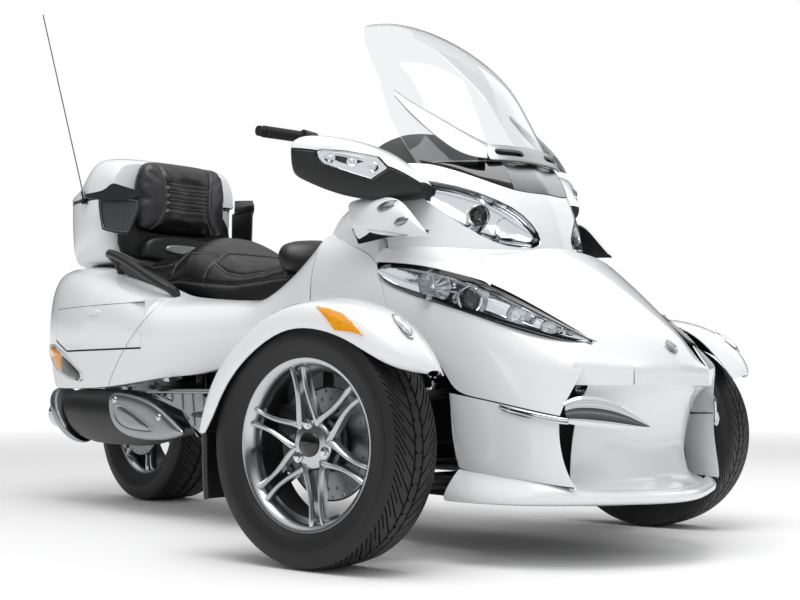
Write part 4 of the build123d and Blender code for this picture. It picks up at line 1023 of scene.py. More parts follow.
def addLowLamps():
    addPair("lowLampCover", lampRows, *lensed, ["low_lamps"], (0.7, -0.5, 0.5), wall=2, rim=0)
    back = Vector((-0.72, 0.28, -0.5)) * lampLook["depth"]
    pan, trim, rim = [], [], []
    for place, row in enumerate(lampRows):
        low, high = Vector(row[0]), Vector(row[4])
        deep = back * min(place, 10 - place, 3) / 3
        middle = (low + high) / 2
        pan.append([low, low + deep * 0.75, low.lerp(middle, 0.5) + deep * 1.3, middle + deep * 1.5,
                    high.lerp(middle, 0.5) + deep * 1.2, high + deep * 0.6, high])
        lift = Vector((0.6, -0.4, 0.5)) * 1.6
        share = lampLook["trim"]
        trim.append([high + lift * 0.4 + (high - low) * 0.035, high + lift,
                     high.lerp(Vector(row[3]), share * 4) + lift])
        rim.append([low + lift * 0.3 - (high - low) * 0.02, low + lift,
                    low.lerp(Vector(row[1]), lampLook["trimLow"] * 4) + lift])
    addPair("lowLampPan", pan, [reflector, darkAndShade], "silver_cast", (), (0.7, -0.5, 0.5), wall=2, rim=0)
    addPair("lowLampTrim", trim, *shiny, (), (0.7, -0.5, 0.5), wall=2.5, rim=0.6, ends=(0, 0))
    addPair("lowLampRim", rim, *shiny, (), (0.7, -0.5, 0.5), wall=2.5, rim=0.6, ends=(0, 0))
    aim = (0.35, -0.93, -0.05)
    eye = (318, -160, 631)
    addTurned("lowProjectorRing", eye, aim, [(21, 0), (24, 8), (31, 16), (33, 15), (33, 4), (30, -14)], *chromed)
    addTurned("lowProjectorLens", eye, aim, [(21.5, 3), (20, 8), (15, 13), (8, 16), (0, 17)], *lensed)
    addTurned("lowProjectorCup", eye, aim, [(22, 4), (16, -3), (8, -8), (0, -9)], *shiny)
    addTurned("lowBowl", (344, -66, 668), (0.5, -0.85, 0.1),
              [(42, 10), (38, 0), (30, -10), (18, -19), (7, -24), (0, -25)], *silvered, flutes=14, steps=112)
    addTurned("lowBowlBulb", (344, -66, 668), (0.5, -0.85, 0.1), [(7, -26), (7, -8), (5, -3), (0, -1)], *chromed,
              steps=24)
    addTurned("lowSmallBowl", (262, -362, 556), (0.3, -0.95, 0), [(19, 8), (17, 0), (12, -8), (5, -12), (0, -13)],
              *silvered, flutes=9, steps=72)
    addTurned("lowSmallBulb", (246, -392, 550), (0.2, -0.95, 0.2), [(7, -12), (7, 4), (5, 9), (0, 11)], *chromed,
              steps=24)
    addTurned("lowMiddleBowl", (294, -290, 588), (0.35, -0.93, 0),
              [(25, 8), (22, 0), (14, -10), (6, -14), (0, -15)], *silvered, flutes=11, steps=88)


addLowLamps()
print("lower lamps ready")


# height, then (across, back) along the cowl's front wall
cowlRows = {
    764: [(0, -184), (110, -170), (206, -98), (282, 0), (330, 120)],
    830: [(0, -174), (110, -156), (205, -86), (276, 10), (318, 130)],
    900: [(0, -156), (110, -134), (200, -66), (272, 30), (310, 140)],
    960: [(0, -128), (110, -104), (205, -36), (290, 60), (330, 160)],
    1010: [(0, -96), (110, -74), (200, 0), (272, 90), (330, 190)],
}
cowlLook = {"bandTop": 1010, "bandProud": 1.6}


def between(table, value):
    # straight interpolation in a list of (place, amount)
    for (a, low), (b, high) in zip(table, table[1:]):
        if value <= b:
            return low + (high - low) * max(value - a, 0) / (b - a)
    return table[-1][1]


def cowlY(x, z):
    return between([(height, between(row, x)) for height, row in cowlRows.items()], z)


# (across, height) where the painted cowl ends under the band, and the lamp eye's outline
bandEdge = [(0, 926), (60, 925), (110, 931), (160, 954), (205, 980), (248, 1010), (400, 1010)]
eyeLine = [(66, 785), (62, 800), (66, 816), (80, 838), (100, 860), (124, 882), (152, 902), (184, 921), (218, 938),
           (252, 952), (284, 963), (298, 966), (299, 958), (288, 934), (272, 902), (251, 866), (228, 834),
           (204, 808), (178, 790), (150, 779), (121, 774), (92, 775)]


def addCowl():
    columns = (0, 40, 80, 110, 140, 170, 200, 230, 256, 282, 300, 316, 330)
    rows = []
    for share in (0, 0.06, 0.2, 0.4, 0.6, 0.8, 0.95, 1):
        heights = [764 + (between(bandEdge, x) - 764) * share for x in columns]
        rows.append([(x, cowlY(x, z), z) for x, z in zip(columns, heights)])
    shape = bmesh.new()
    grid = loft(shape, bothWays(rows))
    faceOut(shape, (0, -1, 0))
    wall = addPiece("cowlWall", shape, [pearl, darkAndShade], "chassis", "white_paint", ["upper_cowl"], 35, False)
    smoothen(wall)
    tree = skinTree(wall)
    for side, _, _ in sides:
        cutter = bmesh.new()
        line = [(side * x, -420, z) for x, z in eyeLine]
        grid = loft(cutter, [line, [(x, 140, z) for x, _, z in line]], True)
        for row in grid:
            bmesh.ops.contextual_create(cutter, geom=row)
        cutBy(wall, cutter)
    thicken(wall, 3.5, 1.2)
    return tree


def cowlBand():
    for name, low, high, finish, slot in (("cowlBandLeft", 108, 262, gloss, "black_plastic"),
            ("cowlBandRight", -262, -108, gloss, "black_plastic"),
                                          ("cowlBandMiddle", -106, 106, satin, "silver_cast")):
        spots = [low + (high - low) * i / 8 for i in range(9)]
        rows = []
        for share in (0, 0.15, 0.5, 0.85, 1):
            row = []
            for x in spots:
                z = between(bandEdge, abs(x)) + 3
                z += (max(cowlLook["bandTop"], z + 2) - z) * share
                row.append((x, cowlY(abs(x), z) - cowlLook["bandProud"] - 5 * sin(pi * share), z))
            rows.append(row)
        addSkin(name, rows, [finish], slot, (), (0, -1, 0.2), wall=3)


def addUpperLamps(tree):
    middle = Vector((176, 0, 862))
    for side, label, _ in sides:
        rows = []
        for share, lift in ((1.0, 1.0), (0.985, -2), (0.95, -14), (0.86, -28), (0.6, -38), (0.25, -42)):
            rows.append([(side * (middle.x + (x - middle.x) * share), -0.4, middle.z + (z - middle.z) * share, lift)
                         for x, z in eyeLine])
        shape = bmesh.new()
        grid = loft(shape, [[point[:3] for point in row] for row in rows], True)
        for line, row in zip(grid, rows):
            lay(line, tree, (0, 1, 0), row[0][3])
        bmesh.ops.contextual_create(shape, geom=grid[-1])
        faceOut(shape, (0, -1, 0))
        addPiece("upperLampBowl" + label, shape, [reflector], "chassis", "silver_cast", (), 50, False)
        outline = [(side * x, 0, z) for x, z in eyeLine]
        addBadge("upperLampCover" + label, outline, [(0.99, -1.5), (0.985, 0.6), (0.94, 1.6), (0.8, 2.4),
                (0.55, 2.8), (0.28, 3)],
                 tree, (0, 1, 0), *lensed, sharp=20)
        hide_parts("upper_lamps")
        upper = [(side * x, 0, z) for x, z in eyeLine[1:12]]
        strip = [(side * (x + (176 - x) * 0.07), 0, z + (862 - z) * 0.09) for x, z in eyeLine[1:12]]
        shape = bmesh.new()
        grid = loft(shape, [upper, [(a[0] * 0.5 + b[0] * 0.5, 0, (a[2] + b[2]) / 2) for a, b in zip(upper, strip)],
                            strip])
        for line, lift in zip(grid, (0.4, 3.2, 2.6)):
            lay(line, tree, (0, 1, 0), lift)
        faceOut(shape, (0, -1, 0))
        trim = addPiece("upperLampTrim" + label, shape, [gloss], "chassis", "black_plastic", (), 35, False)
        smoothen(trim, 1)
        thicken(trim, 2, 0.5, False)
    aim = (0.42, -0.9, -0.04)
    eye = (184, -62, 860)
    addTurned("upperProjectorRing", eye, aim, [(18, 0), (21, 8), (27, 15), (29, 14), (29, 3), (27, -12)], *chromed)
    addTurned("upperProjectorLens", eye, aim, [(18.5, 3), (17, 8), (12, 13), (6, 15.5), (0, 16)], *lensed)
    addTurned("upperProjectorCup", eye, aim, [(19, 4), (14, -3), (7, -7), (0, -8)], *shiny)
    addTurned("upperBowl", (128, -102, 826), (0.2, -0.97, 0.1), [(28, 4), (25, -4), (18, -12), (9, -17), (0, -18)],
              *silvered, flutes=12, steps=96)


def addDeck():
    rows = [
        [(290, -192, 676), (272, -189, 696), (240, -187, 717), (196, -186, 737), (148, -186, 753), (98, -186, 766),
         (44, -186, 776), (0, -187, 779)],
        [(300, -172, 683), (284, -168, 703), (256, -165, 722), (216, -163, 740), (170, -162, 755), (118, -166, 767),
         (60, -176, 776), (0, -182, 780)],
        [(330, -100, 706), (318, -96, 722), (298, -92, 738), (268, -88, 753), (238, -88, 764), (210, -92, 771),
         (190, -98, 776), (180, -106, 779)],
        [(350, 0, 730), (344, 4, 740), (334, 6, 750), (320, 8, 760), (306, 6, 768), (294, 4, 774), (286, 0, 778),
         (280, -6, 781)],
        [(363, 104, 742), (359, 108, 750), (354, 110, 758), (347, 112, 766), (340, 112, 772), (334, 112, 777),
         (330, 112, 780), (326, 110, 782)],
        [(366, 134, 744), (362, 138, 752), (357, 140, 760), (351, 142, 767), (345, 142, 773), (340, 142, 778),
         (336, 142, 781), (332, 140, 783)],
    ]
    rows.insert(0, [(x, y - 15, z - 12) for x, y, z in rows[0]])
    addPair("cowlDeck", rows, *painted, ["upper_cowl"], (0.3, -0.3, 1), creases=[(0, 1)])


# height, then (across, back) along the screen from its middle to its edge
windowRows = [
    (1012, [(0, -96), (60, -89), (110, -74), (160, -38), (200, 0), (234, 42), (262, 84)]),
    (1070, [(0, -64), (60, -56), (110, -41), (158, -4), (198, 40), (230, 88), (257, 138)]),
    (1130, [(0, -30), (60, -22), (110, -6), (156, 34), (196, 80), (226, 134), (250, 190)]),
    (1200, [(0, 8), (60, 17), (108, 33), (153, 74), (193, 124), (220, 178), (241, 232)]),
    (1270, [(0, 52), (58, 61), (106, 78), (148, 116), (184, 164), (209, 216), (228, 270)]),
    (1340, [(0, 122), (54, 131), (98, 147), (138, 182), (170, 226), (193, 272), (211, 320)]),
    (1400, [(0, 200), (48, 208), (88, 222), (124, 252), (153, 290), (174, 332), (191, 374)]),
    (1450, [(0, 282), (42, 288), (78, 299), (109, 322), (134, 352), (152, 384), (166, 416)]),
    (1485, [(0, 350), (34, 354), (64, 362), (90, 378), (111, 398), (127, 420), (139, 444)]),
    (1502, [(0, 392), (26, 394), (49, 400), (70, 411), (88, 427), (101, 445), (110, 464)]),
    (1508, [(0, 414), (18, 416), (34, 420), (50, 428), (64, 440), (76, 456), (84, 474)]),
]
# rings of the bracket's arms, from the screen's edge down to the arch
armRows = [
    [(236, 204, 1236), (240, 199, 1232), (247, 194, 1219), (247, 192, 1214), (238, 200, 1216), (230, 206, 1232)],
    [(226, 152, 1196), (231, 146, 1191), (245, 136, 1160), (245, 133, 1153), (234, 142, 1156), (219, 158, 1192)],
    [(206, 84, 1154), (212, 78, 1149), (236, 60, 1098), (236, 56, 1090), (224, 66, 1093), (199, 92, 1150)],
    [(182, 24, 1112), (189, 17, 1106), (218, -8, 1044), (218, -13, 1036), (206, 0, 1040), (176, 34, 1108)],
    [(156, -26, 1078), (163, -34, 1070), (190, -48, 1024), (189, -52, 1016), (178, -40, 1020), (150, -14, 1076)],
    [(134, -50, 1062), (139, -60, 1055), (158, -72, 1021), (157, -76, 1013), (150, -64, 1016), (128, -40, 1060)],
]


def addScreen():
    rows = [[(x, y, z) for x, y in row] for z, row in windowRows]
    addSkin("windshieldSheet", bothWays(rows), [screen], "clear_glass", ["windshield"], (0, -1, 0), (), (1, 1), 4,
            1.2)
    addBodyPair("bracketArm", armRows, [sand], "silver_cast", ["windshield_bracket"],
                creases=[(0, 0.4), (3, 0.6), (4, 0.6)])
    rows = []
    for share, back in ((0, 0), (0.12, 1), (0.3, 3), (0.7, 7), (0.88, 10), (1, 12)):
        row = []
        for x, y, low, high in ((0, -112, 1014, 1062), (22, -111, 1014, 1061), (40, -109, 1014, 1060),
                                (62, -106, 1014, 1060), (84, -100, 1014, 1060), (104, -92, 1014, 1060),
                                (124, -81, 1014, 1061), (142, -68, 1014, 1062)):
            row.append((x, y + back * 2.6, low + (high - low) * share))
        rows.append(row)
    shape = bmesh.new()
    loft(shape, bothWays(rows))
    holes = [face for face in shape.faces if 40 < abs(face.calc_center_median().x) * 1000 < 124
             and 1024 < face.calc_center_median().z * 1000 < 1050]
    bmesh.ops.delete(shape, geom=holes, context="FACES")
    faceOut(shape, (0, -1, 0.2))
    arch = addPiece("bracketArch", shape, [sand], "chassis", "silver_cast", ["windshield_bracket"], 35, False)
    smoothen(arch)
    thicken(arch, 8, 2, False)
    back = [[(x, y + 16, z) for x, y in ((0, -96), (60, -91), (104, -76), (150, -48))] for z in (1016, 1036, 1056)]
    addSkin("bracketBacking", bothWays(back), *plastic, (), (0, -1, 0), wall=2, levels=1)


def addDash():
    rows = [
        [(0, -40, 1006), (60, -36, 1006), (120, -22, 1004), (176, 14, 998), (215, 44, 990), (250, 90, 984)],
        [(0, 20, 1040), (60, 24, 1040), (126, 38, 1034), (184, 62, 1020), (236, 96, 1000), (276, 136, 984)],
        [(0, 110, 1088), (70, 112, 1086), (140, 118, 1076), (204, 134, 1054), (262, 158, 1018), (306, 190, 984)],
        [(0, 190, 1126), (76, 192, 1124), (146, 196, 1112), (204, 206, 1086), (256, 220, 1044), (300, 236, 996)],
        [(0, 262, 1152), (74, 263, 1149), (138, 266, 1136), (190, 272, 1108), (238, 278, 1064), (270, 284, 1010)],
        [(0, 330, 1150), (70, 331, 1147), (130, 333, 1134), (178, 336, 1108), (222, 338, 1066), (250, 340, 1016)],
        [(0, 378, 1134), (66, 378, 1131), (122, 378, 1119), (166, 378, 1096), (206, 378, 1058), (230, 378, 1016)],
    ]
    addSkin("dashHood", bothWays(rows), [moulded, moulded], "black_plastic", ["dash"], (0, 0, 1), (), (1, 1), 5,
            1.5)
    panel = [[(0, 350, 1090), (80, 350, 1086), (150, 350, 1066), (190, 348, 1040)],
             [(0, 372, 1040), (80, 372, 1038), (150, 370, 1028), (186, 366, 1014)],
             [(0, 388, 1000), (80, 388, 1000), (150, 384, 998), (180, 378, 996)]]
    addSkin("gaugePanel", bothWays(panel), *shiny, (), (0, 1, 0.5), wall=4)
    addTurned("gauge", (78, 362, 1052), (0, 0.93, 0.36), [(48, -6), (50, 8), (46, 13), (42, 9), (41, 3), (0, 2)],
              *anodised)
    addTurned("gaugeFace", (78, 362, 1052), (0, 0.93, 0.36), [(41, 4), (20, 4.5), (8, 4.5), (6, 9), (0, 9.5)],
              [darkAndShade], "black_plastic")


podRows = [
    # back, outer x, inner x, foot, top, height of the colour seam
    (14, 316, 266, 907, 946, 940), (34, 334, 268, 904, 970, 958), (66, 358, 276, 902, 997, 981),
    (104, 402, 286, 903, 1028, 998), (148, 456, 300, 907, 1058, 1011), (190, 500, 322, 924, 1072, 1025),
    (226, 538, 344, 948, 1078, 1031), (246, 550, 360, 960, 1077, 1034), (260, 549, 382, 970, 1070, 1035),
]


def addMirrors():
    rows = []
    for y, outer, inner, low, high, seam in podRows:
        wide = outer - inner
        rows.append([(outer - 14, y, low), (outer - 1, y - 2, low + (seam - low) * 0.3),
                     (outer + 2, y - 3, seam - 2.5), (outer - 0.5, y - 1, seam), (outer + 2, y - 3, seam + 2.5),
                     (outer - 2, y - 3, seam + (high - seam) * 0.6), (outer - wide * 0.16, y, high - 2),
                     (outer - wide * 0.5, y + 3, high + 1), (inner + 2, y + 4, high - 8),
                     (inner, y + 5, (low + high) / 2), (inner + 4, y + 4, low + 6),
                     (outer - wide * 0.5, y + 2, low - 3)])
    for side, label, _ in sides:
        shape = bmesh.new()
        grid = loft(shape, onSide(side, rows), True)
        for column, amount in ((2, 0.8), (3, 0.8), (4, 0.8), (8, 0.5), (10, 0.5), (0, 0.4)):
            crease(shape, [line[column] for line in grid], amount)
        for above, below in zip(grid, grid[1:]):
            for column in range(12):
                face = shape.faces.get((above[column], above[(column + 1) % 12], below[(column + 1) % 12],
                                        below[column]))
                face.material_index = 0 if 4 <= column < 8 else 1
        closeEnds(shape, grid, 0.7, 0.7)
        for face in shape.faces:
            if len(face.verts) == 3:
                face.material_index = 1
        pod = addPiece("mirrorPod" + label, shape, [pearl, moulded], "chassis", "white_paint", ["mirrors"], 35)
        smoothen(pod)
        tree = skinTree(pod)
        lens = [(511, 201, 1026), (498, 188, 1030), (456, 149, 1026), (417, 111, 1018), (395, 89, 1012),
                (374, 70, 981), (406, 100, 952), (451, 143, 971), (498, 188, 993), (507, 198, 1008)]
        outline = flip(side, lens)
        aim = (-side * 0.69, 0.72, 0)
        addBadge("mirrorLensFrame" + label, outline, [(1.05, -2), (1.05, 1.6), (1.0, 2.6), (0.96, 1.2)], tree, aim,
                 *shiny)
        addBadge("mirrorLensBack" + label, outline, [(0.97, 0.4), (0.95, 1.7)], tree, aim, [reflector],
                 "silver_cast")
        addBadge("mirrorLens" + label, outline, [(0.96, 1.5), (0.95, 5.5), (0.88, 7.5), (0.5, 9)], tree, aim,
                 *lensed, sharp=25)
        for place, middle in (("Outer", (484, 175, 1008)), ("Middle", (443, 136, 998)), ("Inner", (404, 98, 983))):
            bulb = oval([side * middle[0], middle[1], middle[2]], (side * 0.72, 0.69, 0), (0, 0, 1), 14, 13, 20)
            addBadge("mirrorBulb" + place + label, bulb,
                     [(1.0, 1.2), (1.0, 5.5), (0.86, 4.6), (0.5, 2.6), (0.36, 5.5), (0.2, 6)], tree, aim, *chromed)
        glass = flip(side, ((300, 120, 1010), (312, 175, 1046), (340, 232, 1060), (372, 256, 1050), (372, 256, 985),
                            (340, 232, 968), (306, 160, 935), (292, 110, 932)))
        addBadge("mirrorGlass" + label, glass, [(1.0, -1), (0.99, 2.4), (0.96, 3), (0.5, 3)], tree,
                 (side * 0.72, -0.69, 0), *chromed, sharp=30)


def addDeflectors():
    rows = [
        [(363, -74, 790), (364, -72, 794), (365, -68, 797), (366, -64, 800), (364, -60, 803)],
        [(371, -34, 794), (374, -30, 809), (376, -26, 824), (375, -20, 838), (366, -14, 850)],
        [(380, 14, 797), (385, 18, 826), (388, 22, 855), (384, 26, 880), (368, 32, 898)],
        [(388, 60, 799), (394, 66, 834), (397, 72, 868), (391, 78, 894), (370, 84, 908)],
        [(396, 112, 798), (401, 118, 836), (402, 124, 872), (395, 132, 900), (374, 138, 912)],
        [(400, 156, 796), (406, 164, 838), (406, 176, 876), (399, 188, 902), (380, 194, 914)],
        [(398, 170, 800), (405, 180, 840), (406, 192, 876), (400, 204, 900), (384, 208, 908)],
    ]
    for skin, (side, label, _) in zip(addPair("deflector", rows, *painted, ["deflectors"], (1, -0.3, 0.2),
                                                 creases=[(0, 1)]), sides):
        tree = skinTree(skin)
        aim = (-side, 0.1, 0)
        for place, y, z, wide, long in (("Upper", 62, 881, 12, 26), ("Lower", 12, 836, 9, 20)):
            addBadge("deflectorBoss" + place + label, oval((side * 392, y, z), (0, 0.25, 1), (0, 1, -0.25), wide,
                    long, 24),
                     [(1.15, -1), (1.1, 2.2), (1.0, 3), (0.85, 1.6), (0.5, 3.4)], tree, aim, *anodised)
        vent = [(side * 400, y, z) for y, z in ((186, 833), (120, 824), (52, 812), (-8, 800), (50, 797), (110, 793),
                (159, 790), (172, 812))]
        addBadge("deflectorVent" + label, vent, [(1.03, -1), (1.0, 1.4), (0.94, -0.4), (0.9, -1)], tree, aim,
                 *shiny, sharp=30)


addUpperLamps(addCowl())
cowlBand()
addDeck()
addScreen()
addDash()
addMirrors()
addDeflectors()
print("cowl ready")


def addTube(name, path, radius, finishes, slot, body="chassis", replaced=(), facets=10, levels=0, close=False):
    # a round rod along a path of points
    shape = bmesh.new()
    rows = []
    path = [Vector(point) for point in path]
    ahead = Vector((0, 0, 1))
    for place, point in enumerate(path):
        before = path[place - 1] if place or close else point
        after = path[(place + 1) % len(path)] if place + 1 < len(path) or close else point
        along = (after - before).normalized()
        across = along.cross(ahead)
        if across.length < 0.3:
            across = along.cross(Vector((0, 1, 0)))
        across.normalize()
        second = along.cross(across)
        size = radius[place] if isinstance(radius, (list, tuple)) else radius
        rows.append([point + (across * cos(2 * pi * i / facets) + second * sin(2 * pi * i / facets)) * size
                     for i in range(facets)])
    if close:
        rows.append(rows[0])
    grid = loft(shape, rows, True)
    if close:
        bmesh.ops.remove_doubles(shape, verts=shape.verts, dist=weldDist)
    else:
        closeEnds(shape, grid)
    piece = addPiece(name, shape, finishes, body, slot, replaced, 40)
    if levels:
        smoothen(piece, levels)
    return piece


def addThread(name, points, tree, aim, radius=1.1, finish=None, slot="black_leather", steps=6, lift=0.3):
    # a sewn thread, or a joint line, lying on a surface
    path = []
    for a, b in zip(points, points[1:]):
        path += [Vector(a).lerp(Vector(b), i / steps) for i in range(steps)]
    path.append(Vector(points[-1]))
    aim = Vector(aim).normalized()
    laid = []
    for point in path:
        hit = tree.ray_cast(spot(*point) - aim * 1.5, aim)[0]
        if hit:
            hit = hit - aim * lift / 1000
            laid.append(Vector((hit.x * 1000, (hit.y - frontMiddle.y) * 1000, hit.z * 1000)))
    return addTube(name, laid, radius, [finish or thread], slot, facets=6)


# back, then (across, height) down the body's side, from its foot to its top
panelRows = [
    (433, [(336, 566), (344, 606), (350, 656), (348, 704), (342, 746), (328, 794), (306, 832), (270, 852)]),
    (500, [(328, 556), (338, 596), (344, 640), (342, 684), (334, 722), (318, 762), (294, 794), (256, 812)]),
    (600, [(313, 540), (323, 580), (328, 618), (325, 655), (316, 690), (301, 720), (280, 742), (244, 754)]),
    (720, [(303, 520), (315, 556), (321, 590), (319, 622), (310, 650), (294, 676), (270, 694), (236, 704)]),
    (800, [(300, 500), (315, 542), (322, 580), (320, 612), (311, 640), (293, 662), (268, 676), (238, 684)]),
    (900, [(306, 482), (325, 530), (336, 570), (334, 606), (324, 638), (303, 664), (276, 682), (242, 690)]),
    (1000, [(318, 460), (341, 512), (356, 560), (354, 602), (343, 640), (318, 668), (282, 690), (244, 698)]),
    (1100, [(350, 452), (370, 508), (382, 560), (380, 604), (368, 642), (338, 676), (292, 698), (250, 708)]),
    (1180, [(380, 446), (396, 506), (404, 560), (402, 604), (390, 642), (356, 680), (302, 706), (256, 718)]),
]


def addShoulders():
    rows = [
        [(376, 20, 512), (378, 40, 530), (382, 60, 560), (384, 70, 600), (382, 82, 640), (379, 96, 676),
         (374, 112, 706), (367, 126, 734)],
        [(377, 90, 512), (381, 100, 540), (386, 110, 580), (387, 120, 620), (385, 128, 656), (380, 136, 692),
         (372, 142, 726), (360, 146, 752)],
        [(376, 180, 514), (382, 186, 552), (387, 190, 600), (386, 194, 644), (381, 198, 682), (373, 202, 716),
         (361, 204, 748), (338, 204, 778)],
        [(364, 270, 522), (374, 276, 566), (381, 280, 618), (380, 282, 664), (374, 284, 702), (364, 286, 738),
         (349, 288, 772), (322, 288, 804)],
        [(350, 350, 544), (361, 352, 588), (367, 354, 638), (366, 356, 684), (360, 358, 724), (349, 360, 762),
         (332, 360, 800), (300, 360, 830)],
        [(336, 428, 566), (344, 428, 606), (350, 428, 656), (348, 428, 704), (342, 428, 746), (328, 428, 794),
         (306, 428, 832), (270, 428, 852)],
    ]
    addPair("shoulder", rows, *painted, ["side_fairings"], (1, 0, 0.2))
    rows = [
        [(366, 128, 738), (352, 132, 764), (338, 134, 776), (328, 136, 782), (318, 134, 790)],
        [(358, 148, 754), (346, 150, 778), (332, 152, 800), (320, 154, 824), (312, 152, 846)],
        [(337, 206, 780), (328, 208, 812), (316, 208, 850), (306, 208, 888), (300, 206, 912)],
        [(321, 290, 806), (312, 290, 838), (298, 290, 872), (282, 290, 906), (262, 290, 934)],
        [(299, 362, 832), (288, 362, 862), (272, 362, 892), (250, 362, 920), (222, 362, 942)],
        [(269, 430, 854), (256, 430, 878), (238, 430, 902), (214, 430, 924), (186, 430, 940)],
    ]
    addPair("cowlFlank", rows, *painted, (), (1, 0, 0.5))


def addConsole():
    rows = []
    for y, half, side, top in ((302, 188, 800, 946), (360, 188, 806, 952), (430, 186, 810, 950),
                               (500, 184, 806, 938), (560, 180, 800, 918), (630, 172, 790, 890),
                               (700, 160, 774, 856), (742, 148, 756, 826), (768, 138, 736, 796)):
        curve = [(0, top), (0.24, top - 2), (0.5, top - 12), (0.72, top - 34), (0.86, top - 66),
                 (0.95, (top + side) / 2 - 20)]
        row = [(half * share, y, z) for share, z in curve] + [(half + 14, y + 2, side - 36),
                (half + 44, y + 4, side - 74), (half + 66, y + 4, side - 110)]
        rows.append(row)
    console = addSkin("console", bothWays(rows), *painted, ["console"], (0, 0, 1))
    tree = skinTree(console)
    for side, label, _ in sides:
        addThread("consoleSeam" + label, [(side * x, y, 900)
                for x, y in ((150, 310), (148, 430), (142, 560), (128, 690), (116, 760))],
                  tree, (0, 0, -1), 1.0, sand, "silver_cast", 8, 0.2)
    addTurned("fuelLid", (0, 640, 888), (0, -0.42, 0.9), [(0, 8), (30, 8), (40, 6), (44, 2), (45, -6)], [pearl],
              "white_paint", pair=False)


# millimetres for voxel, swell and low; holdBelow in metres, the part of the cover that is tacked down
seatLook = {"voxel": 6, "pressure": 4, "swell": 24, "frames": 20, "taut": 16, "low": 637, "holdBelow": 0.70}
restLook = {"voxel": 5, "pressure": 4, "swell": 22, "frames": 20, "taut": 16, "holdBehind": 1698}


def puff(piece, look, held):
    # air swells the cover: held verts stay, and none moves further than the swell
    settle(piece)
    mod = piece.modifiers.new("evenMesh", "REMESH")
    mod.mode, mod.voxel_size = "VOXEL", look["voxel"] / 1000
    settle(piece)
    piece.data.shade_smooth()
    start = [vert.co.copy() for vert in piece.data.vertices]
    group = piece.vertex_groups.new(name="held")
    group.add([vert.index for vert in piece.data.vertices if held(vert.co)], 1.0, "REPLACE")
    cloth = piece.modifiers.new("cover", "CLOTH")
    cloth.settings.use_pressure, cloth.settings.uniform_pressure_force = True, look["pressure"]
    cloth.settings.effector_weights.gravity = 0
    cloth.settings.vertex_group_mass = "held"
    cloth.settings.quality = 4
    cloth.point_cache.frame_start, cloth.point_cache.frame_end = 1, look["frames"]
    for frameNo in range(1, look["frames"] + 1):
        bpy.context.scene.frame_set(frameNo)
    settle(piece)
    bpy.context.scene.frame_set(1)
    limit = look["swell"] / 1000
    for vert, was in zip(piece.data.vertices, start):
        step = vert.co - was
        if step.length > limit:
            vert.co = was + step * (limit / step.length)
    mod = piece.modifiers.new("taut", "SMOOTH")  # the real cover is stretched, without folds
    mod.factor, mod.iterations = 0.5, look["taut"]
    settle(piece)


def dent(piece, lines, axes, depth, width, faces):
    # presses seams into a cover: lines are drawn in two of the three axes
    a, b = axes
    shift = (0, frontMiddle.y * 1000, 0)
    reach = (width * 3) ** 2
    spans = []
    for line in lines:
        spans += list(zip(line, line[1:]))
    moves = []
    for vert in piece.data.vertices:
        if not faces(vert.normal, vert.co):
            continue
        u, v = vert.co[a] * 1000 - shift[a], vert.co[b] * 1000 - shift[b]
        best = reach
        for (u0, v0), (u1, v1) in spans:
            du, dv = u1 - u0, v1 - v0
            t = max(0, min(1, ((u - u0) * du + (v - v0) * dv) / (du * du + dv * dv)))
            best = min(best, (u - u0 - du * t) ** 2 + (v - v0 - dv * t) ** 2)
        if best < reach:
            moves.append((vert, vert.normal * (depth / 1000) * 2.718 ** (-best / width ** 2)))
    for vert, move in moves:
        vert.co -= move


seatTop = [
    # back, half width, height of the middle, height of the edge
    (776, 92, 838, 812), (800, 128, 842, 818), (850, 168, 830, 812), (920, 194, 812, 800), (1000, 206, 803, 798),
    (1080, 211, 806, 806), (1150, 214, 830, 828), (1200, 216, 862, 850), (1250, 217, 902, 872),
    (1300, 216, 926, 884), (1345, 213, 926, 884), (1400, 212, 902, 874), (1460, 212, 880, 866),
    (1530, 212, 872, 864), (1600, 208, 870, 862), (1650, 200, 868, 856), (1668, 186, 852, 840),
]


